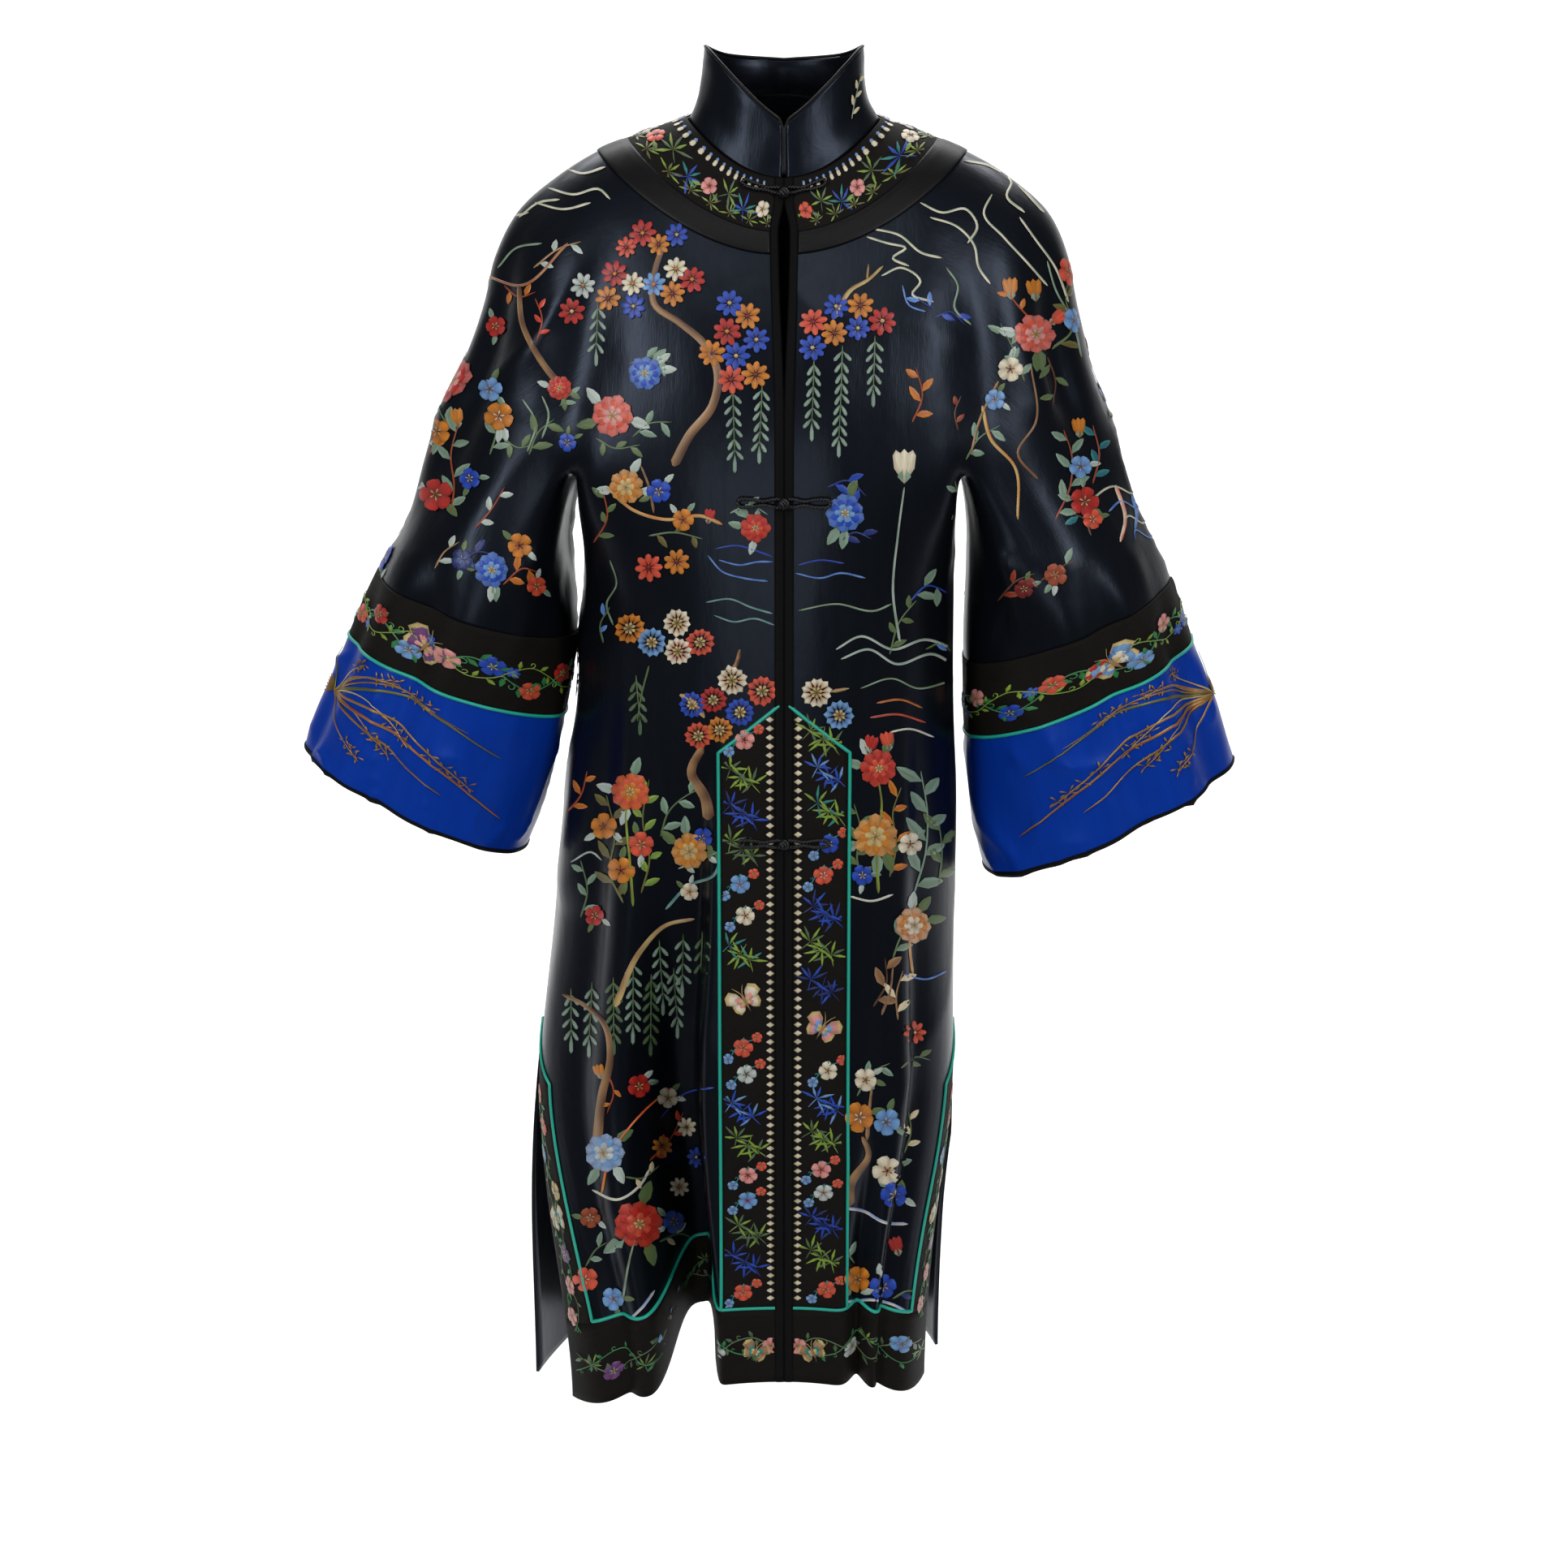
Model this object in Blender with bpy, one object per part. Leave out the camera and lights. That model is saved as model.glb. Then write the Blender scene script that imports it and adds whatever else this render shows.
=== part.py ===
"""A silk dressing gown in the Chinese cut, standing open and hollow, as it is worn.

Metres, +Z up. The front faces -Y, and +X is the left side as worn. The origin is the middle of the neck ring,
level with the points where the shoulders meet the neck.

All the cloth is read from one surface. v runs down it: 0 at the neck, 1 at the underarm, 2 at the hem or at
the end of the cuff. u runs round the trunk on each side: 0 at the centre front, 1 at the side seam, 2 at the
centre back. q runs round the sleeve: 0 at its front corner under the arm, 0.5 outside, 1 at its back corner.
"""

from collections import namedtuple
import math

import bmesh
import bpy
import numpy as np

WALL = 0.0018           # satin with its lining
TRIM = 0.0010           # yoke, bands, borders, pipings and bindings
TRIM_GAP = 0.0008       # between a trim and the cloth that it lies on
TRIM_TOP = TRIM_GAP + TRIM
SEAM = 0.0003           # between pieces that are sewn edge to edge
CORD_RADIUS = 0.0014    # the satin cord of the frogs
BALL_RADIUS = 0.0048    # a frog's knot
ROLL_RADIUS = 0.0013    # the rolled edge of the collar

RIGHT, LEFT = -1, 1     # the sides as worn, as the sign of x
SIDE_NAMES = {RIGHT: "right", LEFT: "left"}

FRONT_CORNER, BACK_CORNER = 0.8, 1.2    # u where the front and the back turn to the side under the arm
UNDERARM_Z, HEM_Z = -0.280, -1.120
RAGLAN_AT_NECK = 48.0   # degrees from the centre front to the sleeve's edge, at the neck
SQUARENESS = 2.6        # of the trunk's plan: 2 is an ellipse, more is boxier
CORNER_SHARE = 0.93     # of the half width, where the trunk's front turns to its side
UNDERARM_EASE = 0.15    # v over which the trunk rounds out below the underarm
SLEEVE_EASE = 0.34      # v over which the sleeve does
UNDERARM_Q = 0.25       # q from each corner to the seam under the arm
NORMAL_STEP = 0.012     # in u, q, w and v, from which a normal is read
PAST_EDGE = 0.015       # that far past a raglan edge the surface still holds the edge, so that normals are true
FRONT_OPEN = 0.0095     # the gap between the fronts under the collar
OPEN_V, WIDEST_V, CLOSED_V = 0.07, 0.20, 0.88   # where that gap starts, is widest and has closed
FOLD_LIFT = 0.28        # how far a deep fold draws the hem up, as a share of its depth
LIFT_START_V = 1.5      # where it starts to
HEM_TURN = 8            # power by which the lower panels turn back towards the slits: more is nearer the edge

SLIT_TOP, SLIT_SHOULDER = 1.62, 1.676       # v of the slit's top, and where its border is at full width
YOKE_SEAM_V, YOKE_EDGE_V = 0.20, 0.28
BAND_APEX_V, BAND_SHOULDER_V = 1.238, 1.288     # of the pointed top of the band down the front
BAND_HALF = 0.054       # half width of that band over both fronts
BORDER_V = 1.915        # top of the hem border
PIPING, BINDING = 0.0035, 0.0080
PIPING_V = 0.0045       # a piping's width, in v
CUFF_BINDING_V = 0.012  # the width of the cuff's binding, in v

# The shoulder part, a row for each ring round the neck: its half widths on each side at the shoulder ridge,
# the ridge's height, and the depth and height of the ring at the centre front and centre back.
Ring = namedtuple("Ring", "v right_w left_w ridge_z front_y front_z back_y back_z")
SHOULDER = [
    Ring(0.00, 0.082, 0.082, 0.000, 0.066, -0.046, 0.064, 0.018),
    Ring(0.14, 0.115, 0.113, -0.011, 0.080, -0.076, 0.078, -0.008),
    Ring(0.28, 0.158, 0.155, -0.027, 0.093, -0.106, 0.090, -0.040),
    Ring(0.42, 0.195, 0.192, -0.049, 0.107, -0.137, 0.101, -0.080),
    Ring(0.56, 0.228, 0.226, -0.079, 0.120, -0.168, 0.110, -0.120),
    Ring(0.68, 0.247, 0.243, -0.115, 0.129, -0.195, 0.117, -0.160),
    Ring(0.80, 0.259, 0.252, -0.157, 0.135, -0.222, 0.120, -0.200),
    Ring(0.90, 0.279, 0.267, -0.212, 0.138, -0.250, 0.121, -0.240),
    Ring(1.00, 0.312, 0.292, UNDERARM_Z, 0.139, UNDERARM_Z, 0.121, UNDERARM_Z),
]

# The trunk below the arms, a row for each level: half widths on each side, and depths to the front and back.
Level = namedtuple("Level", "v right_w left_w front_y back_y")
TRUNK = [
    Level(1.00, 0.178, 0.148, 0.139, 0.121),
    Level(1.14, 0.175, 0.148, 0.138, 0.118),
    Level(1.26, 0.183, 0.149, 0.135, 0.119),
    Level(1.38, 0.197, 0.153, 0.132, 0.125),
    Level(1.50, 0.206, 0.153, 0.131, 0.130),
    Level(1.62, 0.219, 0.154, 0.131, 0.130),
    Level(1.74, 0.229, 0.155, 0.132, 0.127),
    Level(1.86, 0.235, 0.151, 0.134, 0.122),
    Level(2.00, 0.235, 0.148, 0.138, 0.118),
]

# Each panel's hem: x and y of its side edge, its height in the middle and at that edge, and u of the inner edge
# of the slit's border.
Hem = namedtuple("Hem", "side face edge_x edge_y middle_z edge_z border_u")
HEMS = {(hem.side, hem.face): hem for hem in [
    Hem(RIGHT, "front", 0.192, -0.085, -1.098, -1.138, 0.865),
    Hem(RIGHT, "back", 0.234, 0.018, -1.118, -1.164, 1.175),
    Hem(LEFT, "front", 0.128, -0.060, -1.098, -1.127, 0.875),
    Hem(LEFT, "back", 0.147, 0.052, -1.118, -1.152, 1.175),
]}

# The sleeves below the underarm, a row for each section: its outer and inner points, and its half depth.
Section = namedtuple("Section", "v outer_x outer_z inner_x inner_z depth")
BAND_TOP_V, BAND_END_V = 1.36, 1.60
SLEEVE = {
    RIGHT: [
        Section(1.00, 0.312, UNDERARM_Z, 0.180, UNDERARM_Z, 0.108),
        Section(1.18, 0.334, -0.336, 0.183, -0.362, 0.108),
        Section(BAND_TOP_V, 0.357, -0.388, 0.187, -0.444, 0.104),
        Section(BAND_END_V, 0.381, -0.444, 0.194, -0.512, 0.099),
        Section(1.80, 0.405, -0.497, 0.211, -0.576, 0.094),
        Section(2.00, 0.424, -0.546, 0.233, -0.640, 0.088),
    ],
    LEFT: [
        Section(1.00, 0.292, UNDERARM_Z, 0.150, UNDERARM_Z, 0.108),
        Section(1.18, 0.314, -0.340, 0.154, -0.376, 0.108),
        Section(BAND_TOP_V, 0.336, -0.398, 0.158, -0.468, 0.104),
        Section(BAND_END_V, 0.357, -0.450, 0.161, -0.532, 0.099),
        Section(1.80, 0.380, -0.502, 0.169, -0.594, 0.094),
        Section(2.00, 0.399, -0.560, 0.184, -0.660, 0.088),
    ],
}
SLEEVE_RUN = (0.095, 0.0, -0.330)   # from the underarm to the cuff's end, with x away from the trunk

# The largest folds, pressed inward where depth is above 0. Each has its place round the cloth where it starts
# and at the lower end, its spread towards the front and back, the v where it starts and is deepest, and the
# power of its section: 2 is rounded, and 4 has a flat floor and steep sides.
Fold = namedtuple("Fold", "side at_start at_end fore aft start full depth power")
TRUNK_FOLDS = [     # placed by u
    Fold(RIGHT, 0.34, 0.385, 0.068, 0.170, 1.22, 2.00, 0.114, 4),
    Fold(RIGHT, 0.70, 0.740, 0.060, 0.080, 1.08, 1.50, 0.012, 2),
    Fold(LEFT, 0.66, 0.700, 0.055, 0.110, 1.10, 1.75, 0.015, 2),
    Fold(LEFT, 0.44, 0.520, 0.080, 0.080, 1.55, 2.00, 0.020, 2),
    Fold(RIGHT, 1.40, 1.360, 0.080, 0.080, 1.10, 2.00, 0.030, 2),
    Fold(RIGHT, 1.72, 1.700, 0.070, 0.070, 1.15, 2.00, 0.036, 2),
    Fold(LEFT, 1.40, 1.360, 0.080, 0.080, 1.10, 2.00, 0.026, 2),
    Fold(LEFT, 1.72, 1.700, 0.070, 0.070, 1.15, 2.00, 0.034, 2),
]
SHOULDER_FOLDS = [  # placed by the angle from the centre front, in degrees
    Fold(RIGHT, 44.0, 40.0, 7.0, 7.0, 0.34, 0.80, 0.010, 2),
    Fold(LEFT, 44.0, 40.0, 7.0, 8.0, 0.34, 0.80, 0.008, 2),
    Fold(RIGHT, 76.0, 66.0, 7.0, 8.0, 0.42, 0.95, 0.009, 2),
    Fold(LEFT, 70.0, 62.0, 7.0, 7.0, 0.42, 0.95, 0.010, 2),
    Fold(RIGHT, 140.0, 144.0, 7.0, 7.0, 0.34, 0.95, 0.010, 2),
    Fold(LEFT, 140.0, 144.0, 7.0, 7.0, 0.34, 0.95, 0.010, 2),
]
SLEEVE_FOLDS = [    # placed by q
    Fold(RIGHT, 0.22, 0.20, 0.050, 0.050, 1.00, 1.60, 0.011, 2),
    Fold(RIGHT, 0.40, 0.42, 0.040, 0.040, 1.04, 1.80, 0.007, 2),
    Fold(RIGHT, 0.75, 0.72, 0.060, 0.060, 1.00, 1.70, 0.013, 2),
    Fold(LEFT, 0.20, 0.18, 0.050, 0.050, 1.00, 1.60, 0.011, 2),
    Fold(LEFT, 0.38, 0.36, 0.040, 0.040, 1.04, 1.80, 0.008, 2),
    Fold(LEFT, 0.75, 0.72, 0.060, 0.060, 1.00, 1.70, 0.013, 2),
]

# The stand collar: its half width and half depth up its height, and the top edge's height round the neck.
Tier = namedtuple("Tier", "share half_x half_y")
COLLAR_TIERS = [
    Tier(0.00, 0.0805, 0.0645),
    Tier(0.25, 0.0722, 0.0615),
    Tier(0.55, 0.0685, 0.0598),
    Tier(1.00, 0.0672, 0.0588),
]
Rim = namedtuple("Rim", "angle z")
COLLAR_RIM = [
    Rim(0.0, -0.003), Rim(15.0, 0.010), Rim(30.0, 0.025), Rim(50.0, 0.043),
    Rim(72.0, 0.056), Rim(92.0, 0.058), Rim(135.0, 0.050), Rim(180.0, 0.046),
]

Frog = namedtuple("Frog", "name v reach half_height")
FROGS = [
    Frog("neck", 0.050, 0.034, 0.0026),
    Frog("chest", 1.03, 0.038, 0.0034),
    Frog("band", 1.38, 0.038, 0.0030),
]

# The lines of the cloth's grid, in v down it and in shares, q or degrees across it.
SHOULDER_ROWS = [0.0, 0.10, YOKE_SEAM_V, YOKE_EDGE_V, 0.40, 0.54, 0.68, 0.80, 0.90, 1.0]
SKIRT_ROWS = [1.06, 1.12, 1.19, 1.27, 1.35, 1.43, 1.50, 1.56, SLIT_TOP, 1.69, 1.76, 1.82, 1.87, BORDER_V, 1.957, 2.0]
PANEL_ROWS = SHOULDER_ROWS + SKIRT_ROWS
UNDERARM_ROW = len(SHOULDER_ROWS) - 1
PAST_BAND = [0.0, 0.06, 0.14, 0.24, 0.36, 0.51, 0.67, 0.83, 1.0]
BINDING_COL, BAND_EDGE_COL, CORNER_COL = 1, 3, 12
BACK_SHARES = [0.0, 0.13, 0.26, 0.39, 0.52, 0.65, 0.77, 0.89, 1.0]
BACK_SLIT_COL, BACK_CORNER_COL = 3, 4
SLEEVE_ROWS = [1.08, 1.17, 1.27, BAND_TOP_V]
SLEEVE_COLS = [
    -UNDERARM_Q, -0.17, -0.08, 0.0, 0.1, 0.2, 0.3, 0.4, 0.5, 0.6, 0.7, 0.8, 0.9, 1.0, 1.08, 1.17, 1 + UNDERARM_Q,
]
SLEEVE_FRONT_COL, SLEEVE_BACK_COL = 3, 13
BAND_ROWS = [BAND_TOP_V, 1.44, 1.52, BAND_END_V]
CUFF_ROWS = [BAND_END_V, 1.68, 1.76, 1.84, 1.92, 2.0]
SLIT_BORDER_U = {"front": 0.84, "back": 1.16}   # the slit border's inner edge at the slit's top
SLIT_PIPING_U = 0.012       # the width of its piping, in u
LINE_ABOVE_BAND = 0.27      # u of the band's edge line above the band
TO_BAND_V, TO_BAND_EASE = 0.9, 0.3      # where that line moves to the band, and over how much v
COLLAR_ANGLES = [1.5, 9.0, 17.0, 26.0, 36.0, 48.0, 60.0, 73.0, 86.0, 100.0, 115.0, 131.0, 147.0, 164.0]
COLLAR_SHARES = [0.0, 0.18, 0.42, 0.70, 1.0]

COLOURS = {
    "satin": (0.012, 0.014, 0.020, 1), "embroidered": (0.020, 0.018, 0.018, 1), "cuff": (0.006, 0.045, 0.330, 1),
    "piping": (0.010, 0.330, 0.270, 1), "binding": (0.008, 0.008, 0.010, 1),
}
ROUGHNESS = {"satin": 0.38, "embroidered": 0.55, "cuff": 0.36, "piping": 0.5, "binding": 0.6}


def clear_scene():
    for item in list(bpy.data.objects):
        bpy.data.objects.remove(item)


def material(name):
    made = bpy.data.materials.get(name)
    if made is None:
        made = bpy.data.materials.new(name)
        made.use_nodes = True
        shader = made.node_tree.nodes["Principled BSDF"]
        shader.inputs["Base Color"].default_value = COLOURS[name]
        shader.inputs["Roughness"].default_value = ROUGHNESS[name]
        shader.inputs["Metallic"].default_value = 0.0
    return made


def along(rows, column, at):
    """A named column of a table, as a smooth curve through its rows, which are keyed by their first column."""
    keys = np.array([row[0] for row in rows])
    values = np.array([getattr(row, column) for row in rows])
    slopes = np.gradient(values, keys)
    at = np.clip(np.asarray(at, float), keys[0], keys[-1])
    i = np.clip(np.searchsorted(keys, at, side="right") - 1, 0, len(keys) - 2)
    span = keys[i + 1] - keys[i]
    t = (at - keys[i]) / span
    return (
        (2 * t**3 - 3 * t**2 + 1) * values[i] + (t**3 - 2 * t**2 + t) * span * slopes[i]
        + (3 * t**2 - 2 * t**3) * values[i + 1] + (t**3 - t**2) * span * slopes[i + 1]
    )


def ease(t):
    t = np.clip(t, 0.0, 1.0)
    return t * t * (3 - 2 * t)


def mix(a, b, share):
    return a + (b - a) * share


def stacked(x, y, z):
    return np.stack(np.broadcast_arrays(x, y, z), axis=-1)


def fold_depth(folds, side, around, v, last):
    """How far the folds press the cloth inward at v, where last is the v at their lower end."""
    depth = np.zeros(np.broadcast(around, v).shape)
    for fold in folds:
        if fold.side != side:
            continue
        off = around - mix(fold.at_start, fold.at_end, np.clip((v - fold.start) / (last - fold.start), 0, 1))
        spread = np.where(off < 0, fold.fore, fold.aft)
        grown = ease((v - fold.start) / (fold.full - fold.start))
        depth = depth + fold.depth * grown * np.exp(-(np.abs(off / spread) ** fold.power))
    return depth


def normal(surface, a, b, a_step=NORMAL_STEP, b_step=NORMAL_STEP):
    """The surface's unit normal at a and b, from its points on each side."""
    across = surface(a + a_step, b) - surface(a - a_step, b)
    down = surface(a, b + b_step) - surface(a, b - b_step)
    n = np.cross(down, across)
    return n / np.maximum(np.linalg.norm(n, axis=-1, keepdims=True), 1e-12)


def half_width(table, side, v):
    return along(table, SIDE_NAMES[side] + "_w", v)


def raglan(side, v):
    """The angle from the centre front to the sleeve's front edge, in degrees."""
    at_underarm = math.degrees(math.asin(half_width(TRUNK, side, 1.0) / half_width(SHOULDER, side, 1.0)))
    return mix(RAGLAN_AT_NECK, at_underarm, np.clip(v, 0, 1))


def shoulder_ring(side, angle, v):
    """The smooth shoulder part, before its folds. Angle is in degrees from the centre front."""
    v = np.clip(v, 0.0, 1.0)
    cos, sin = np.cos(np.radians(angle)), np.sin(np.radians(angle))
    front = cos > 0
    y = -cos * np.where(front, along(SHOULDER, "front_y", v), along(SHOULDER, "back_y", v))
    end_z = np.where(front, along(SHOULDER, "front_z", v), along(SHOULDER, "back_z", v))
    z = mix(along(SHOULDER, "ridge_z", v), end_z, cos * cos)
    return stacked(side * half_width(SHOULDER, side, v) * sin, y, z)


def shoulder_point(side, angle, v):
    depth = fold_depth(SHOULDER_FOLDS, side, angle, v, 1.0)
    outward = side * normal(lambda a, b: shoulder_ring(side, a, b), angle, np.minimum(v, 0.985), 1.0)
    return shoulder_ring(side, angle, v) - outward * depth[..., None]


def under_arm(side, share, shift):
    """The line under the arm from the front corner to the back one, moved out by shift."""
    front, back = (
        shoulder_point(side, np.asarray(angle), np.asarray(1.0))
        for angle in (raglan(side, 1.0), 180 - raglan(side, 1.0))
    )
    line = front + (back - front) * np.clip(share, 0, 1)[..., None]
    line[..., 0] += side * shift
    return line


def trunk_level(side, u, v):
    """x and y of the smooth trunk's rounded plan: u spreads x evenly over the front and back, y over the side."""
    width = half_width(TRUNK, side, v)
    front, back = along(TRUNK, "front_y", v), along(TRUNK, "back_y", v)
    fore = u < 1
    across = np.where(fore, u / FRONT_CORNER, (2 - u) / (2 - BACK_CORNER)) * CORNER_SHARE
    corner = (1 - CORNER_SHARE**SQUARENESS) ** (1 / SQUARENESS)
    face_y = np.where(fore, -front, back) * (1 - np.clip(across, 0, 1) ** SQUARENESS) ** (1 / SQUARENESS)
    side_y = mix(-front, back, (u - FRONT_CORNER) / (BACK_CORNER - FRONT_CORNER)) * corner
    bulge = np.clip(np.abs(side_y) / np.where(side_y < 0, front, back), 0, 1)
    side_x = width * (1 - bulge**SQUARENESS) ** (1 / SQUARENESS)
    on_side = (u > FRONT_CORNER) & (u < BACK_CORNER)
    return np.where(on_side, side_x, width * across), np.where(on_side, side_y, face_y)


def slit_share(v):
    """How far the panels have parted from the trunk's shape to their own hems, below the slit's top."""
    return ease((v - SLIT_TOP) / (2 - SLIT_TOP))


def trunk_ring(side, face, u, v):
    """The smooth trunk, before its folds: the underarm's ring eases into the levels, and those into the hems."""
    v = np.maximum(v, 1.0)
    turn = raglan(side, 1.0)
    share = (u - FRONT_CORNER) / (BACK_CORNER - FRONT_CORNER)
    angle = np.where(
        u < 1,
        np.degrees(np.arcsin(np.clip(u / FRONT_CORNER, 0, 1) * np.sin(np.radians(turn)))),
        180 - turn * np.clip((2 - u) / (2 - BACK_CORNER), 0, 1),
    )
    on_side = (u > FRONT_CORNER) & (u < BACK_CORNER)
    ring = np.where(
        on_side[..., None], under_arm(side, share, -SEAM), shoulder_point(side, angle, np.ones_like(angle))
    )
    x, y = trunk_level(side, u, v)
    rounded = ease((v - 1) / UNDERARM_EASE)
    x, y = mix(side * ring[..., 0], x, rounded), mix(ring[..., 1], y, rounded)
    hem, parted = HEMS[side, face], slit_share(v)
    off = np.clip(u if face == "front" else 2 - u, 0, 1.2)
    middle_y = along(TRUNK, "back_y", v) if face == "back" else -along(TRUNK, "front_y", v)
    x = mix(x, hem.edge_x * off, parted)
    y = mix(y, mix(middle_y, hem.edge_y, off**HEM_TURN), parted)
    z = mix(UNDERARM_Z, HEM_Z, v - 1) + parted * (mix(hem.middle_z, hem.edge_z, off**2) - HEM_Z)
    return stacked(side * x, y, z)


def trunk_point(side, face, u, v):
    depth = fold_depth(TRUNK_FOLDS, side, u, v, 2.0)
    outward = side * normal(lambda a, b: trunk_ring(side, face, a, b), u, np.maximum(v, 1.2), 0.06, 0.02)
    outward[..., 2] = 0
    point = trunk_ring(side, face, u, v) - outward * depth[..., None]
    point[..., 2] += FOLD_LIFT * depth * ease((v - LIFT_START_V) / (2 - LIFT_START_V))
    return point


def front_opening(v):
    """Half the gap between the fronts."""
    opened, closed = ease((v - OPEN_V) / (WIDEST_V - OPEN_V)), ease((v - WIDEST_V) / (CLOSED_V - WIDEST_V))
    return SEAM + FRONT_OPEN / 2 * opened * (1 - closed)


def panel_point(side, face, u, v):
    """A point of a front or a back, from the neck to the hem."""
    u, v = np.broadcast_arrays(np.asarray(u, float), np.asarray(v, float))
    past = u > FRONT_CORNER + PAST_EDGE if face == "front" else u < BACK_CORNER - PAST_EDGE
    v = np.where(past, np.maximum(v, 1.0), v)
    turn = raglan(side, v)
    if face == "front":
        angle = np.degrees(np.arcsin(np.clip(u / FRONT_CORNER, 0, 1) * np.sin(np.radians(turn))))
    else:
        angle = 180 - turn * np.clip((2 - u) / (2 - BACK_CORNER), 0, 1)
    point = np.where(
        (v < 1)[..., None], shoulder_point(side, angle, np.minimum(v, 1.0)), trunk_point(side, face, u, v)
    )
    if face == "front":
        point[..., 0] += side * front_opening(v) * (1 - np.clip(u, 0, 1)) ** 4
    return point


def sleeve_ring(side, q, v):
    """The smooth sleeve below the underarm, before its folds."""
    share = np.where(q < 0.5, -q, 2 * UNDERARM_Q + 1 - q) / (2 * UNDERARM_Q)
    turn = raglan(side, 1.0)
    over = (q >= 0) & (q <= 1)
    angle = mix(turn, 180 - turn, np.clip(q, 0, 1))
    ring = np.where(over[..., None], shoulder_point(side, angle, np.ones_like(q)), under_arm(side, share, SEAM))
    run = ring + np.array(SLEEVE_RUN) * np.array([side, 1, 1]) * (v - 1)[..., None]
    rows = SLEEVE[side]
    turned = np.pi * (0.5 - q) / (0.5 + UNDERARM_Q)
    reach = (1 + np.cos(turned)) / 2
    section = stacked(
        side * mix(along(rows, "inner_x", v), along(rows, "outer_x", v), reach),
        -along(rows, "depth", v) * np.sin(turned),
        mix(along(rows, "inner_z", v), along(rows, "outer_z", v), reach),
    )
    return mix(run, section, ease((v - 1) / SLEEVE_EASE)[..., None])


def sleeve_point(side, q, v):
    """A point of the sleeve, or of its band or cuff."""
    q, v = np.broadcast_arrays(np.asarray(q, float), np.asarray(v, float))
    v = np.where((q < -PAST_EDGE) | (q > 1 + PAST_EDGE), np.maximum(v, 1.0), v)
    turn = raglan(side, v)
    high = shoulder_point(side, mix(turn, 180 - turn, np.clip(q, 0, 1)), np.minimum(v, 1.0))
    low_v = np.maximum(v, 1.0)
    depth = fold_depth(SLEEVE_FOLDS, side, q, low_v, 2.0)
    outward = side * normal(lambda a, b: sleeve_ring(side, a, b), q, np.maximum(low_v, 1.04), 0.03, 0.02)
    low = sleeve_ring(side, q, low_v) - outward * depth[..., None]
    return np.where((v < 1)[..., None], high, low)


def neck_point(w, v):
    """A point of the shoulder part, all round. w is 0 at the right centre front, 3 at the centre back and 6 at
    the left centre front, and each side is a third front, a third sleeve and a third back.
    """
    w, v = np.broadcast_arrays(np.asarray(w, float), np.asarray(v, float))
    point = np.zeros(w.shape + (3,))
    for side, t in ((RIGHT, w), (LEFT, 6 - w)):
        whole = np.select(
            [(t <= 1)[..., None], (t <= 2)[..., None]],
            [panel_point(side, "front", t * FRONT_CORNER, v), sleeve_point(side, t - 1, v)],
            panel_point(side, "back", mix(BACK_CORNER, 2.0, np.clip(t - 2, 0, 1)), v),
        )
        here = (w <= 3) if side == RIGHT else (w > 3)
        point = np.where(here[..., None], whole, point)
    return point


def collar_point(angle, share):
    """A point of the stand collar. Angle runs all round from the centre front by the right side."""
    around = np.abs(np.where(angle < -180.0, angle + 360.0, angle))
    base = shoulder_ring(LEFT, around, np.zeros_like(around))[..., 2] + SEAM + WALL / 2
    sin, cos = np.sin(np.radians(angle)), np.cos(np.radians(angle))
    z = mix(base, along(COLLAR_RIM, "z", around), share)
    return stacked(along(COLLAR_TIERS, "half_x", share) * sin, -along(COLLAR_TIERS, "half_y", share) * cos, z)


def u_of(side, x, v):
    """u of the point of a front that lies x from the centre line."""
    high = half_width(SHOULDER, side, np.clip(v, 0, 1)) * np.sin(np.radians(raglan(side, v)))
    low = CORNER_SHARE * half_width(TRUNK, side, np.clip(v, 1, 2))
    corner = mix(high, low, ease((v - 1) / UNDERARM_EASE))
    return x / mix(corner / FRONT_CORNER, HEMS[side, "front"].edge_x, slit_share(v))


def front_columns(side, v):
    """u of a front's grid lines at v: the binding, the band, its piping, the front, and the slit's border."""
    edge = mix(LINE_ABOVE_BAND / u_of(side, 1.0, v), BAND_HALF, ease((v - TO_BAND_V) / TO_BAND_EASE))
    near = [u_of(side, x, v) for x in (0.0, BINDING, mix(BINDING, edge, 0.5), edge, edge + PIPING)]
    slit_edge = mix(SLIT_BORDER_U["front"], HEMS[side, "front"].border_u, slit_share(v))
    lowered = ease((v - 1) / (SLIT_TOP - 1))
    corner = mix(FRONT_CORNER, slit_edge - SLIT_PIPING_U, lowered)
    beyond = mix(mix(corner, 1.0, 0.25), slit_edge, lowered)
    rest = [mix(near[-1], corner, share) for share in PAST_BAND[1:]]
    return near + rest + [mix(beyond, 1.0, share) for share in (0.0, 1 / 3, 2 / 3, 1.0)]


def back_columns(side, v):
    """u of a back's grid lines, from the side seam to the centre back."""
    slit_edge = mix(SLIT_BORDER_U["back"], HEMS[side, "back"].border_u, slit_share(v))
    corner = mix(BACK_CORNER, slit_edge + SLIT_PIPING_U, ease((v - 1) / (SLIT_TOP - 1)))
    shares = [mix(corner, 2.0, share) for share in BACK_SHARES]
    return [mix(1.0, slit_edge, share) for share in (0.0, 1 / 3, 2 / 3, 1.0)] + shares


def neck_columns():
    """w of each grid line of the fronts, the sleeves and the backs where they meet the neck."""
    front = [u / FRONT_CORNER for u in front_columns(RIGHT, YOKE_SEAM_V)[BINDING_COL:CORNER_COL + 1]]
    over = [1 + q for q in SLEEVE_COLS[SLEEVE_FRONT_COL + 1:SLEEVE_BACK_COL + 1]]
    half = front + over + [2 + share for share in BACK_SHARES[1:]]
    return half + [6 - w for w in reversed(half[:-1])]


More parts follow.
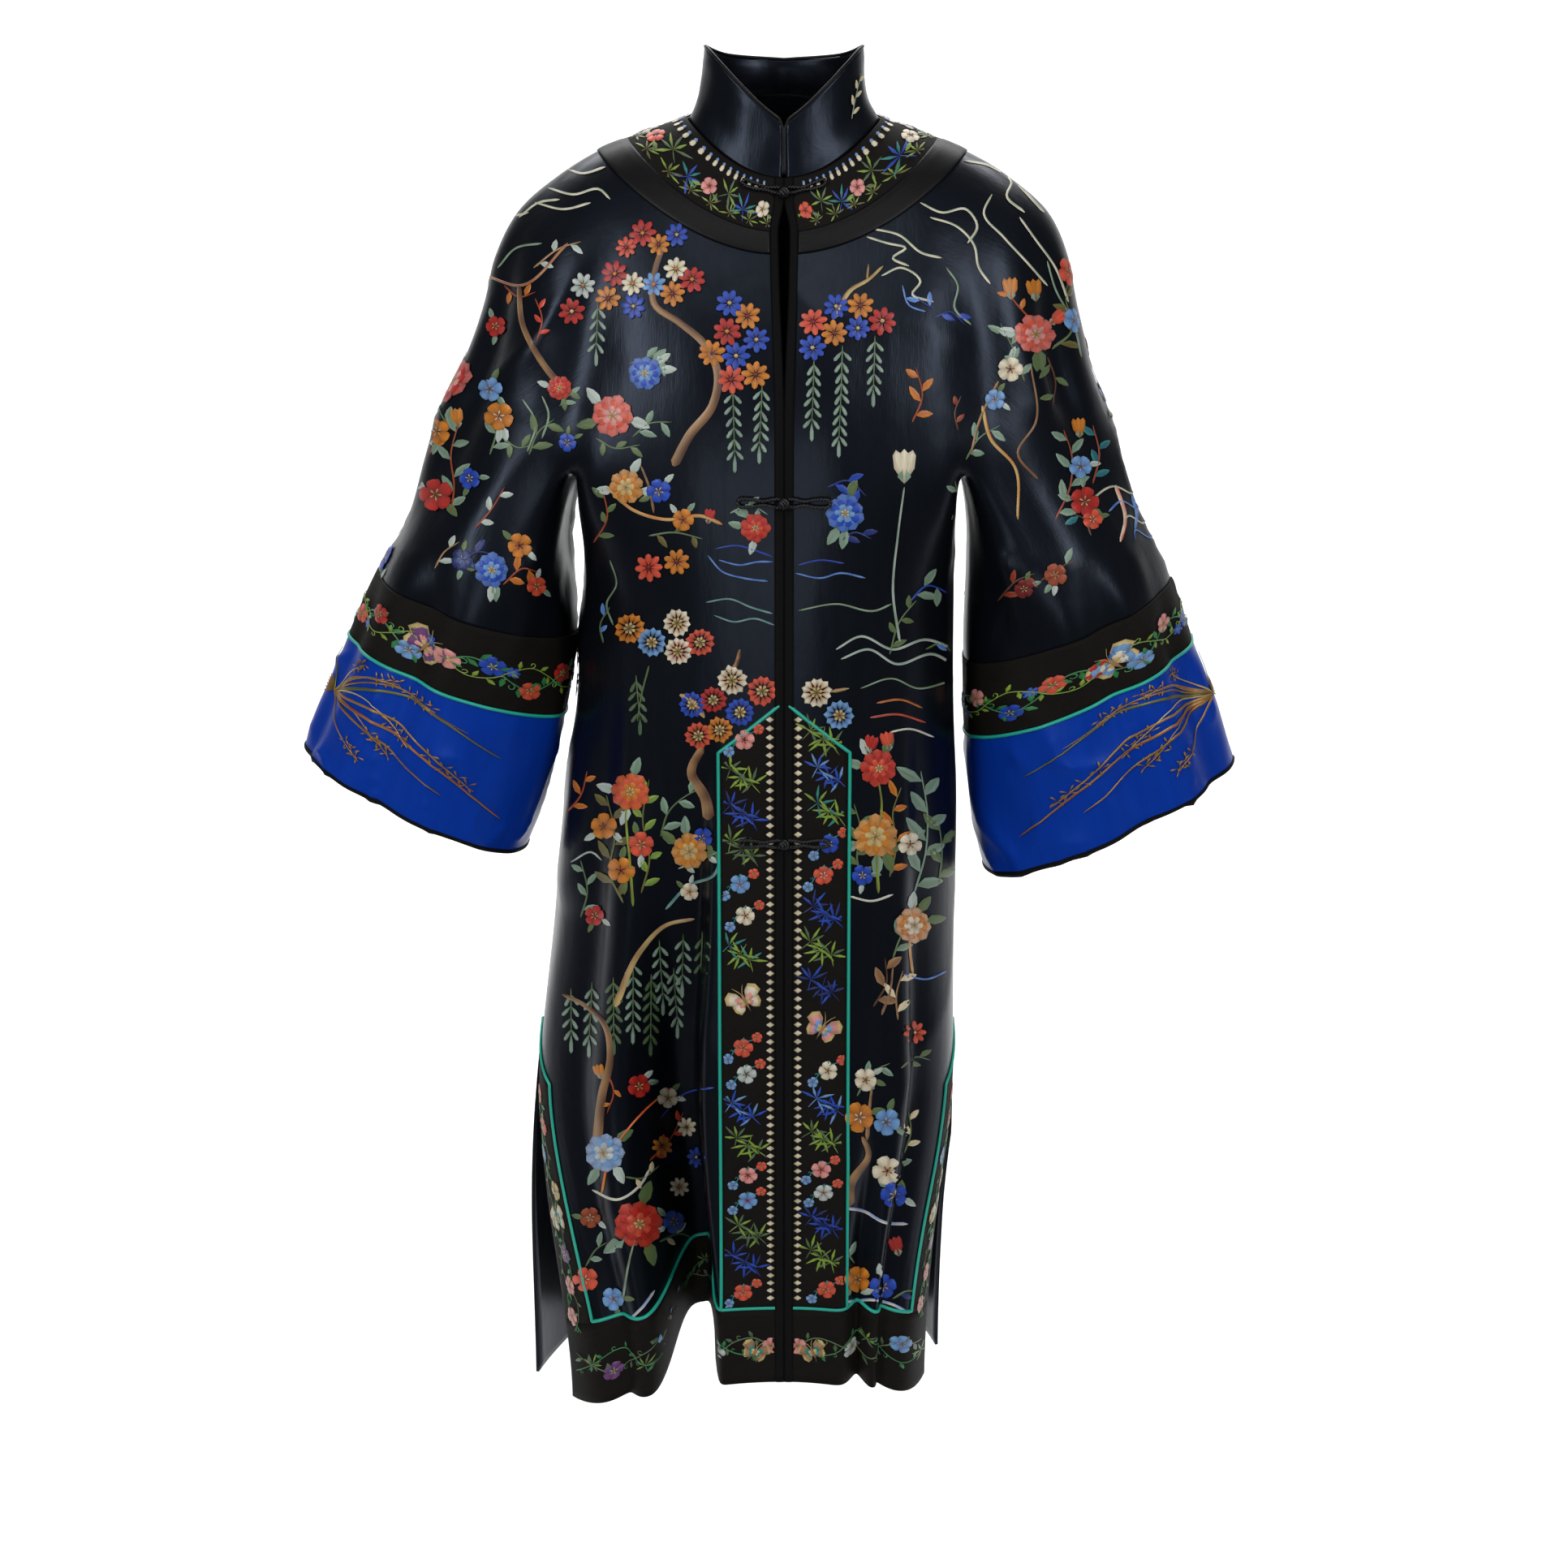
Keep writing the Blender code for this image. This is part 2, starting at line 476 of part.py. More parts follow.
def cloth_wall(name, finish, across, down, surface, flip, top=0.0, thickness=WALL, keep=None):
    """A wall of cloth between two layers of a surface's points, at heights top and top less thickness over it.

    across and down hold the surface's two values at each crossing of the piece's grid lines. keep says which
    of its cells are cloth. Every edge stands back by half a seam's gap.
    """
    lines, columns = across.shape
    kept = np.zeros((lines + 1, columns + 1))
    for j, i in np.ndindex(lines - 1, columns - 1):
        kept[j + 1, i + 1] = keep is None or keep(i, j)
    work = bmesh.new()
    bmesh.ops.create_grid(work, x_segments=columns - 1, y_segments=lines - 1, size=1.0)
    unused = []
    for face in work.faces:
        middle = face.calc_center_median()
        i, j = int((middle.x + 1) / 2 * (columns - 1)), int((middle.y + 1) / 2 * (lines - 1))
        if not kept[j + 1, i + 1]:
            unused.append(face)
    bmesh.ops.delete(work, geom=unused, context="FACES")
    bmesh.ops.triangulate(work, faces=list(work.faces), quad_method="FIXED")
    upper = list(work.verts)
    doubled = bmesh.ops.extrude_face_region(work, geom=list(work.faces), use_keep_orig=True)
    lower = [item for item in doubled["geom"] if isinstance(item, bmesh.types.BMVert)]

    outward = flip * normal(surface, across, down)
    for layer, height in ((upper, top), (lower, top - thickness)):
        points = stood_back(surface(across, down) + outward * height, kept)
        for vert in layer:
            i = round((vert.co.x + 1) / 2 * (columns - 1))
            j = round((vert.co.y + 1) / 2 * (lines - 1))
            vert.co = points[j, i]
    bmesh.ops.recalc_face_normals(work, faces=work.faces)
    if work.calc_volume(signed=True) < 0:
        bmesh.ops.reverse_faces(work, faces=work.faces)
    return finished(name, work, finish)


def stood_back(points, kept):
    """The grid's points, with those on the edge of the kept cells moved in by half a seam."""
    moved = points.copy()
    for j, i in np.ndindex(points.shape[:2]):
        above, below = kept[j, i:i + 2], kept[j + 1, i:i + 2]
        to_right = int(np.sign(above[1] + below[1] - above[0] - below[0]))
        to_below = int(np.sign(below.sum() - above.sum()))
        for beside in ((j, i + to_right), (j + to_below, i)):
            if beside != (j, i):
                way = points[beside] - points[j, i]
                moved[j, i] += way / max(np.linalg.norm(way), 1e-9) * SEAM / 2
    return moved


def finished(name, work, finish):
    mesh = bpy.data.meshes.new(name)
    work.to_mesh(mesh)
    work.free()
    mesh.shade_smooth()
    mesh.materials.append(material(finish))
    made = bpy.data.objects.new(name, mesh)
    GOWN.objects.link(made)
    return made


def cord(name, finish, points, radius):
    curve = bpy.data.curves.new(name, "CURVE")
    curve.dimensions = "3D"
    curve.bevel_depth = radius
    curve.bevel_resolution = 1
    curve.use_fill_caps = True
    spline = curve.splines.new("POLY")
    spline.points.add(len(points) - 1)
    for point, place in zip(spline.points, points):
        point.co = (*place, 1.0)
    curve.materials.append(material(finish))
    made = bpy.data.objects.new(name, curve)
    GOWN.objects.link(made)
    return made


def grid(side, columns, rows):
    """The u and v of the crossings of a panel's grid lines."""
    across = np.array([columns(side, v) for v in rows], float)
    return across, np.repeat(np.array(rows)[:, None], across.shape[1], axis=1)


def make_panel(side, face):
    columns = front_columns if face == "front" else back_columns
    across, down = grid(side, columns, PANEL_ROWS)
    upper = range(CORNER_COL) if face == "front" else range(BACK_CORNER_COL, across.shape[1])
    cloth_wall(
        f"{face}_{SIDE_NAMES[side]}", "satin", across, down, lambda u, v: panel_point(side, face, u, v), side,
        keep=lambda i, j: i in upper or j >= UNDERARM_ROW,
    )


def make_sleeve(side):
    surface = lambda q, v: sleeve_point(side, q, v)

    def piece(label, finish, rows, top=0.0, thickness=WALL, keep=None):
        down, across = np.meshgrid(rows, SLEEVE_COLS, indexing="ij")
        cloth_wall(f"{label}_{SIDE_NAMES[side]}", finish, across, down, surface, side, top, thickness, keep)

    piece("sleeve", "satin", SHOULDER_ROWS + SLEEVE_ROWS,
          keep=lambda i, j: j >= UNDERARM_ROW or SLEEVE_FRONT_COL <= i < SLEEVE_BACK_COL)
    piece("sleeve_band", "embroidered", BAND_ROWS)
    piece("cuff", "cuff", CUFF_ROWS)
    piece("sleeve_piping", "piping", [BAND_END_V - PIPING_V, BAND_END_V + PIPING_V], TRIM_TOP, TRIM)
    piece("cuff_binding", "binding", [2.0 - CUFF_BINDING_V, 2.0], TRIM_TOP, TRIM)


def make_yoke():
    for name, finish, rows in (
        ("yoke", "embroidered", [0.0, 0.10, YOKE_SEAM_V]), ("yoke_border", "satin", [YOKE_SEAM_V, YOKE_EDGE_V]),
    ):
        down, across = np.meshgrid(rows, neck_columns(), indexing="ij")
        across[:, 0] = [u_of(RIGHT, BINDING, v) / FRONT_CORNER for v in rows]
        across[:, -1] = [6 - u_of(LEFT, BINDING, v) / FRONT_CORNER for v in rows]
        cloth_wall(name, finish, across, down, neck_point, RIGHT, TRIM_TOP, TRIM)


def gabled(across, down, row, above=0.0):
    """Bends a row of grid lines up to the point of the band, over the columns of the band."""
    share = np.clip(across[row] / across[row, BAND_EDGE_COL], 0, 1)
    down[row] = mix(BAND_APEX_V, BAND_SHOULDER_V, share) - above


def sloped_to_slit(across, down, row, slit_col, edge_col, above=0.0):
    """Bends a row of grid lines up from the slit border's inner edge to the slit's top."""
    inner, edge = across[row, slit_col], across[row, edge_col]
    share = np.clip((across[row] - inner) / (edge - inner), 0, 1)
    down[row] = mix(SLIT_SHOULDER, SLIT_TOP + PIPING_V, share) - above


def make_front_trims(side):
    name = SIDE_NAMES[side]
    slit_col = CORNER_COL + 1
    inside = slice(BINDING_COL, None)

    def piece(label, finish, across, down, keep=None):
        surface = lambda u, v: panel_point(side, "front", u, v)
        cloth_wall(f"{label}_{name}", finish, across, down, surface, side, TRIM_TOP, TRIM, keep)

    across, down = grid(side, front_columns, PANEL_ROWS)
    piece("front_binding", "binding", across[:, :BINDING_COL + 1], down[:, :BINDING_COL + 1])

    band_rows = [v for v in PANEL_ROWS if BAND_SHOULDER_V + 0.02 < v < BORDER_V]
    across, down = grid(side, front_columns, [BAND_SHOULDER_V] + band_rows + [BORDER_V - PIPING_V])
    gabled(across, down, 0)
    over_band = slice(BINDING_COL, BAND_EDGE_COL + 1)
    piece("front_band", "embroidered", across[:, over_band], down[:, over_band])

    rows = [SLIT_SHOULDER] + [v for v in PANEL_ROWS if v > SLIT_SHOULDER]
    across, down = grid(side, front_columns, rows)
    sloped_to_slit(across, down, 0, slit_col, -1)
    border_row = rows.index(BORDER_V)
    piece("border_front", "embroidered", across[:, inside], down[:, inside],
          lambda i, j: j >= border_row or i >= slit_col - BINDING_COL)

    rows = [BAND_SHOULDER_V - PIPING_V, BAND_SHOULDER_V] + [v for v in band_rows if v <= SLIT_TOP]
    slit_row = len(rows)
    rows += [SLIT_SHOULDER - PIPING_V, SLIT_SHOULDER] + [v for v in band_rows if v > SLIT_SHOULDER]
    rows += [BORDER_V - PIPING_V, BORDER_V]
    across, down = grid(side, front_columns, rows)
    gabled(across, down, 0, PIPING_V)
    gabled(across, down, 1)
    sloped_to_slit(across, down, slit_row, slit_col, -1, PIPING_V)
    sloped_to_slit(across, down, slit_row + 1, slit_col, -1)
    beside_band, beside_slit = BAND_EDGE_COL - BINDING_COL, CORNER_COL - BINDING_COL
    over_hem = len(rows) - 2
    piece("piping_front", "piping", across[:, inside], down[:, inside], lambda i, j: (
        i == beside_band or (j == 0 and i < beside_band) or (j == over_hem and i <= beside_slit)
        or (j == slit_row and i >= beside_slit) or (i == beside_slit and j >= slit_row)
    ))


def make_back_trims(side):
    def piece(label, finish, across, down, keep):
        surface = lambda u, v: panel_point(side, "back", u, v)
        cloth_wall(f"{label}_{SIDE_NAMES[side]}", finish, across, down, surface, side, TRIM_TOP, TRIM, keep)

    below = [v for v in PANEL_ROWS if v > SLIT_SHOULDER]
    across, down = grid(side, back_columns, [SLIT_SHOULDER] + below)
    sloped_to_slit(across, down, 0, BACK_SLIT_COL, 0)
    border_row = 1 + below.index(BORDER_V)
    piece("border_back", "embroidered", across, down, lambda i, j: j >= border_row or i < BACK_SLIT_COL)

    rows = [SLIT_SHOULDER - PIPING_V, SLIT_SHOULDER] + below[:below.index(BORDER_V)]
    rows += [BORDER_V - PIPING_V, BORDER_V]
    across, down = grid(side, back_columns, rows)
    sloped_to_slit(across, down, 0, BACK_SLIT_COL, 0, PIPING_V)
    sloped_to_slit(across, down, 1, BACK_SLIT_COL, 0)
    over_hem = len(rows) - 2
    piece("piping_back", "piping", across, down, lambda i, j: (
        i == BACK_SLIT_COL or (j == 0 and i < BACK_SLIT_COL) or (j == over_hem and i >= BACK_SLIT_COL)
    ))


def make_collar():
    angles = [-a for a in COLLAR_ANGLES] + [-180.0] + [a - 360.0 for a in reversed(COLLAR_ANGLES)]
    down, across = np.meshgrid(COLLAR_SHARES, angles, indexing="ij")
    cloth_wall("collar", "satin", across, down, collar_point, LEFT)

    clear = ROLL_RADIUS + SEAM
    middle = np.array([1 - WALL / 2 / COLLAR_TIERS[-1].half_x, 1 - WALL / 2 / COLLAR_TIERS[-1].half_y, 1.0])
    rim = collar_point(np.array(angles), np.ones(len(angles))) * middle + np.array([0, 0, clear])
    up_the_edge = COLLAR_SHARES[1:-1]
    ends = []
    for angle, shares in ((angles[0], up_the_edge), (angles[-1], up_the_edge[::-1])):
        edge = collar_point(np.full(len(shares), angle), np.array(shares)) * middle
        edge[:, 0] -= np.sign(edge[:, 0]) * clear
        ends.append(edge)
    rim[0, 0], rim[-1, 0] = ends[0][-1, 0], ends[1][0, 0]
    cord("collar_binding", "binding", np.concatenate([ends[0], rim, ends[1]]), ROLL_RADIUS)


def make_frog(frog):
    """A frog: a loop of doubled cord sewn to each front, and the knot between them."""
    metres_per_v = UNDERARM_Z - HEM_Z if frog.v > 1 else SHOULDER[0].front_z - UNDERARM_Z
    start, rise = BALL_RADIUS + SEAM + CORD_RADIUS, frog.half_height
    straight = list(np.linspace(start, frog.reach - rise, 5))
    bend = [math.radians(degrees) for degrees in (60, 30, 0, -30, -60)]
    path = [(x, -rise) for x in straight]
    path += [(straight[-1] + rise * math.cos(a), -rise * math.sin(a)) for a in bend]
    path += [(x, rise) for x in reversed(straight)]
    for side in (RIGHT, LEFT):
        surface = lambda u, v: panel_point(side, "front", u, v)
        v = np.array([frog.v + off / metres_per_v for _, off in path])
        u = np.array([u_of(side, x, frog.v) for x, _ in path])
        lifted = surface(u, v) + side * normal(surface, u, v) * (TRIM_TOP + SEAM + CORD_RADIUS)
        cord(f"frog_{frog.name}_{SIDE_NAMES[side]}", "binding", lifted, CORD_RADIUS)
    seat = panel_point(RIGHT, "front", 0.0, frog.v)
    knot = bmesh.new()
    bmesh.ops.create_uvsphere(knot, u_segments=10, v_segments=6, radius=BALL_RADIUS)
    bmesh.ops.translate(knot, verts=knot.verts, vec=(0, seat[1] - TRIM_TOP - SEAM - BALL_RADIUS, seat[2]))
    finished(f"frog_{frog.name}_knot", knot, "binding")


clear_scene()
GOWN = bpy.data.collections.new("dressing_gown")
bpy.context.scene.collection.children.link(GOWN)
make_yoke()
make_collar()
for worn_side in (RIGHT, LEFT):
    make_panel(worn_side, "front")
    make_panel(worn_side, "back")
    make_sleeve(worn_side)
    make_front_trims(worn_side)
    make_back_trims(worn_side)
for fastening in FROGS:
    make_frog(fastening)
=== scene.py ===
from collections import namedtuple
import math

import bmesh
import bpy
import numpy as np
from mathutils import Matrix, Vector
from mathutils.bvhtree import BVHTree


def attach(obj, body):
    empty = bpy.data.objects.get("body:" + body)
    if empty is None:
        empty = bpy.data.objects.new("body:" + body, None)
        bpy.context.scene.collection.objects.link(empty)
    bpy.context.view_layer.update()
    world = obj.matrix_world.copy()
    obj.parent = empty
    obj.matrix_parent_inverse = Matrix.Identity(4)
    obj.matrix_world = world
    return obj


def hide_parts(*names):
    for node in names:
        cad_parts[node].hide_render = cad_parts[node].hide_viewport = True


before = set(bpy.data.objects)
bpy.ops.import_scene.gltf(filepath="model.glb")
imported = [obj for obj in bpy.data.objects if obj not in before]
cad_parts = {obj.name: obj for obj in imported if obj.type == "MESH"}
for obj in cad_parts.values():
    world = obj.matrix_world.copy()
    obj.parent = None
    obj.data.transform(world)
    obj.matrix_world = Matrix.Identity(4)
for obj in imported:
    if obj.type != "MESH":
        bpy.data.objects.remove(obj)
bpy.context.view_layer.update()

# The two halves of the body.
# Black silk satin on a thin lining. Each half is a front, a sleeve and a back cut in one over the shoulder,
# seamed under the arm and down the side to the slit. v runs down the cloth, and u, q and w run round it.

RIGHT, LEFT = -1, 1
SIDE_NAMES = {RIGHT: "right", LEFT: "left"}
FRONT_CORNER, BACK_CORNER = 0.8, 1.2
UNDERARM_Z, HEM_Z = -0.280, -1.120
RAGLAN_AT_NECK = 48.0
SQUARENESS, CORNER_SHARE = 2.6, 0.93
UNDERARM_EASE, SLEEVE_EASE, UNDERARM_Q = 0.15, 0.34, 0.25
NORMAL_STEP, PAST_EDGE = 0.012, 0.015
FRONT_OPEN, OPEN_V, WIDEST_V, CLOSED_V = 0.0095, 0.07, 0.20, 0.88
FOLD_LIFT, LIFT_START_V, HEM_TURN = 0.28, 1.5, 8
SLIT_TOP, SLIT_SHOULDER = 1.62, 1.676
BAND_TOP_V, BAND_END_V = 1.36, 1.60
CLOTH_WALL = 0.0014

Ring = namedtuple("Ring", "v right_w left_w ridge_z front_y front_z back_y back_z")
SHOULDER = [
    Ring(0.00, 0.082, 0.082, 0.000, 0.066, -0.046, 0.064, 0.018),
    Ring(0.14, 0.115, 0.113, -0.011, 0.080, -0.076, 0.078, -0.008),
    Ring(0.28, 0.158, 0.155, -0.027, 0.093, -0.106, 0.090, -0.040),
    Ring(0.42, 0.195, 0.192, -0.049, 0.107, -0.137, 0.101, -0.080),
    Ring(0.56, 0.228, 0.226, -0.079, 0.120, -0.168, 0.110, -0.120),
    Ring(0.68, 0.247, 0.243, -0.115, 0.129, -0.195, 0.117, -0.160),
    Ring(0.80, 0.259, 0.252, -0.157, 0.135, -0.222, 0.120, -0.200),
    Ring(0.90, 0.279, 0.267, -0.212, 0.138, -0.250, 0.121, -0.240),
    Ring(1.00, 0.312, 0.292, UNDERARM_Z, 0.139, UNDERARM_Z, 0.121, UNDERARM_Z),
]
Level = namedtuple("Level", "v right_w left_w front_y back_y")
TRUNK = [
    Level(1.00, 0.178, 0.148, 0.139, 0.121),
    Level(1.14, 0.175, 0.148, 0.138, 0.118),
    Level(1.26, 0.183, 0.149, 0.135, 0.119),
    Level(1.38, 0.197, 0.153, 0.132, 0.125),
    Level(1.50, 0.206, 0.153, 0.131, 0.130),
    Level(1.62, 0.219, 0.154, 0.131, 0.130),
    Level(1.74, 0.229, 0.155, 0.132, 0.127),
    Level(1.86, 0.235, 0.151, 0.134, 0.122),
    Level(2.00, 0.235, 0.148, 0.138, 0.118),
]
Hem = namedtuple("Hem", "side face edge_x edge_y middle_z edge_z border_u")
HEMS = {(hem.side, hem.face): hem for hem in [
    Hem(RIGHT, "front", 0.192, -0.085, -1.098, -1.138, 0.865),
    Hem(RIGHT, "back", 0.234, 0.018, -1.118, -1.164, 1.175),
    Hem(LEFT, "front", 0.128, -0.060, -1.098, -1.127, 0.875),
    Hem(LEFT, "back", 0.147, 0.052, -1.118, -1.152, 1.175),
]}
Section = namedtuple("Section", "v outer_x outer_z inner_x inner_z depth")
SLEEVE = {
    RIGHT: [
        Section(1.00, 0.312, UNDERARM_Z, 0.180, UNDERARM_Z, 0.108),
        Section(1.18, 0.334, -0.336, 0.183, -0.362, 0.108),
        Section(BAND_TOP_V, 0.357, -0.388, 0.187, -0.444, 0.104),
        Section(BAND_END_V, 0.381, -0.444, 0.194, -0.512, 0.099),
        Section(1.80, 0.405, -0.497, 0.211, -0.576, 0.094),
        Section(2.00, 0.424, -0.546, 0.233, -0.640, 0.088),
    ],
    LEFT: [
        Section(1.00, 0.292, UNDERARM_Z, 0.150, UNDERARM_Z, 0.108),
        Section(1.18, 0.314, -0.340, 0.154, -0.376, 0.108),
        Section(BAND_TOP_V, 0.336, -0.398, 0.158, -0.468, 0.104),
        Section(BAND_END_V, 0.357, -0.450, 0.161, -0.532, 0.099),
        Section(1.80, 0.380, -0.502, 0.169, -0.594, 0.094),
        Section(2.00, 0.399, -0.560, 0.184, -0.660, 0.088),
    ],
}
SLEEVE_RUN = (0.095, 0.0, -0.330)
Fold = namedtuple("Fold", "side at_start at_end fore aft start full depth power")
TRUNK_FOLDS = [
    Fold(RIGHT, 0.34, 0.385, 0.068, 0.170, 1.22, 2.00, 0.114, 4),
    Fold(RIGHT, 0.70, 0.740, 0.060, 0.080, 1.08, 1.50, 0.012, 2),
    Fold(LEFT, 0.66, 0.700, 0.055, 0.110, 1.10, 1.75, 0.015, 2),
    Fold(LEFT, 0.44, 0.520, 0.080, 0.080, 1.55, 2.00, 0.020, 2),
    Fold(RIGHT, 1.40, 1.360, 0.080, 0.080, 1.10, 2.00, 0.030, 2),
    Fold(RIGHT, 1.72, 1.700, 0.070, 0.070, 1.15, 2.00, 0.036, 2),
    Fold(LEFT, 1.40, 1.360, 0.080, 0.080, 1.10, 2.00, 0.026, 2),
    Fold(LEFT, 1.72, 1.700, 0.070, 0.070, 1.15, 2.00, 0.034, 2),
]
SHOULDER_FOLDS = [
    Fold(RIGHT, 44.0, 40.0, 7.0, 7.0, 0.34, 0.80, 0.010, 2),
    Fold(LEFT, 44.0, 40.0, 7.0, 8.0, 0.34, 0.80, 0.008, 2),
    Fold(RIGHT, 76.0, 66.0, 7.0, 8.0, 0.42, 0.95, 0.009, 2),
    Fold(LEFT, 70.0, 62.0, 7.0, 7.0, 0.42, 0.95, 0.010, 2),
    Fold(RIGHT, 140.0, 144.0, 7.0, 7.0, 0.34, 0.95, 0.010, 2),
    Fold(LEFT, 140.0, 144.0, 7.0, 7.0, 0.34, 0.95, 0.010, 2),
]
SLEEVE_FOLDS = [
    Fold(RIGHT, 0.22, 0.20, 0.050, 0.050, 1.00, 1.60, 0.011, 2),
    Fold(RIGHT, 0.40, 0.42, 0.040, 0.040, 1.04, 1.80, 0.007, 2),
    Fold(RIGHT, 0.75, 0.72, 0.060, 0.060, 1.00, 1.70, 0.013, 2),
    Fold(LEFT, 0.20, 0.18, 0.050, 0.050, 1.00, 1.60, 0.011, 2),
    Fold(LEFT, 0.38, 0.36, 0.040, 0.040, 1.04, 1.80, 0.008, 2),
    Fold(LEFT, 0.75, 0.72, 0.060, 0.060, 1.00, 1.70, 0.013, 2),
]


def through(keys, values, slopes, at):
    """A smooth curve that has these values and slopes at the keys, read at the places in at."""
    i = np.clip(np.searchsorted(keys, at, side="right") - 1, 0, len(keys) - 2)
    span = keys[i + 1] - keys[i]
    t = (at - keys[i]) / span
    if values.ndim == 2:
        span, t = span[:, None], t[:, None]
    return (
        (2 * t**3 - 3 * t**2 + 1) * values[i] + (t**3 - 2 * t**2 + t) * span * slopes[i]
        + (3 * t**2 - 2 * t**3) * values[i + 1] + (t**3 - t**2) * span * slopes[i + 1]
    )


def along(rows, column, at):
    """A named column of a table, as a smooth curve through its rows."""
    keys, values = np.array([row[0] for row in rows]), np.array([getattr(row, column) for row in rows])
    return through(keys, values, np.gradient(values, keys), np.clip(np.asarray(at, float), keys[0], keys[-1]))


def ease(t):
    t = np.clip(t, 0.0, 1.0)
    return t * t * (3 - 2 * t)


def mix(a, b, share):
    return a + (b - a) * share


def stacked(x, y, z):
    return np.stack(np.broadcast_arrays(x, y, z), axis=-1)


def unit(ways):
    """The same directions, each one metre long."""
    return ways / np.maximum(np.linalg.norm(ways, axis=-1, keepdims=True), 1e-12)


def fold_depth(folds, side, around, v, last):
    """How far the large folds press the cloth inward."""
    depth = np.zeros(np.broadcast(around, v).shape)
    for fold in folds:
        if fold.side == side:
            middle = mix(fold.at_start, fold.at_end, np.clip((v - fold.start) / (last - fold.start), 0, 1))
            off = (around - middle) / np.where(around < middle, fold.fore, fold.aft)
            depth = depth + fold.depth * ease((v - fold.start) / (fold.full - fold.start)) * np.exp(
                -(np.abs(off) ** fold.power))
    return depth


def normal(surface, a, b, a_step=NORMAL_STEP, b_step=NORMAL_STEP):
    across = surface(a + a_step, b) - surface(a - a_step, b)
    down = surface(a, b + b_step) - surface(a, b - b_step)
    return unit(np.cross(down, across))


def half_width(table, side, v):
    return along(table, SIDE_NAMES[side] + "_w", v)


def raglan(side, v):
    """The angle from the centre front to where the sleeve leaves the front, in degrees."""
    at_underarm = math.degrees(math.asin(half_width(TRUNK, side, 1.0) / half_width(SHOULDER, side, 1.0)))
    return mix(RAGLAN_AT_NECK, at_underarm, np.clip(v, 0, 1))


def shoulder_ring(side, angle, v):
    v = np.clip(v, 0.0, 1.0)
    cos, sin = np.cos(np.radians(angle)), np.sin(np.radians(angle))
    front = cos > 0
    y = -cos * np.where(front, along(SHOULDER, "front_y", v), along(SHOULDER, "back_y", v))
    end_z = np.where(front, along(SHOULDER, "front_z", v), along(SHOULDER, "back_z", v))
    z = mix(along(SHOULDER, "ridge_z", v), end_z, cos * cos)
    return stacked(side * half_width(SHOULDER, side, v) * sin, y, z)


def shoulder_point(side, angle, v):
    depth = fold_depth(SHOULDER_FOLDS, side, angle, v, 1.0)
    outward = side * normal(lambda a, b: shoulder_ring(side, a, b), angle, np.minimum(v, 0.985), 1.0)
    return shoulder_ring(side, angle, v) - outward * depth[..., None]


def under_arm(side, share):
    front, back = (
        shoulder_point(side, np.asarray(angle), np.asarray(1.0))
        for angle in (raglan(side, 1.0), 180 - raglan(side, 1.0))
    )
    return front + (back - front) * np.clip(share, 0, 1)[..., None]


def trunk_level(side, u, v):
    width = half_width(TRUNK, side, v)
    front, back = along(TRUNK, "front_y", v), along(TRUNK, "back_y", v)
    fore = u < 1
    across = np.where(fore, u / FRONT_CORNER, (2 - u) / (2 - BACK_CORNER)) * CORNER_SHARE
    corner = (1 - CORNER_SHARE**SQUARENESS) ** (1 / SQUARENESS)
    face_y = np.where(fore, -front, back) * (1 - np.clip(across, 0, 1) ** SQUARENESS) ** (1 / SQUARENESS)
    side_y = mix(-front, back, (u - FRONT_CORNER) / (BACK_CORNER - FRONT_CORNER)) * corner
    bulge = np.clip(np.abs(side_y) / np.where(side_y < 0, front, back), 0, 1)
    side_x = width * (1 - bulge**SQUARENESS) ** (1 / SQUARENESS)
    on_side = (u > FRONT_CORNER) & (u < BACK_CORNER)
    return np.where(on_side, side_x, width * across), np.where(on_side, side_y, face_y)


def slit_share(v):
    return ease((v - SLIT_TOP) / (2 - SLIT_TOP))


def panel_angle(face, u, turn):
    if face == "front":
        return np.degrees(np.arcsin(np.clip(u / FRONT_CORNER, 0, 1) * np.sin(np.radians(turn))))
    return 180 - turn * np.clip((2 - u) / (2 - BACK_CORNER), 0, 1)


def trunk_ring(side, face, u, v):
    v = np.maximum(v, 1.0)
    turn = raglan(side, 1.0)
    share = (u - FRONT_CORNER) / (BACK_CORNER - FRONT_CORNER)
    angle = np.where(u < 1, panel_angle("front", u, turn), panel_angle("back", u, turn))
    on_side = (u > FRONT_CORNER) & (u < BACK_CORNER)
    ring = np.where(
        on_side[..., None], under_arm(side, share), shoulder_point(side, angle, np.ones_like(angle))
    )
    x, y = trunk_level(side, u, v)
    rounded = ease((v - 1) / UNDERARM_EASE)
    x, y = mix(side * ring[..., 0], x, rounded), mix(ring[..., 1], y, rounded)
    hem, parted = HEMS[side, face], slit_share(v)
    off = np.clip(u if face == "front" else 2 - u, 0, 1.2)
    middle_y = along(TRUNK, "back_y", v) if face == "back" else -along(TRUNK, "front_y", v)
    x = mix(x, hem.edge_x * off, parted)
    y = mix(y, mix(middle_y, hem.edge_y, off**HEM_TURN), parted)
    z = mix(UNDERARM_Z, HEM_Z, v - 1) + parted * (mix(hem.middle_z, hem.edge_z, off**2) - HEM_Z)
    return stacked(side * x, y, z)


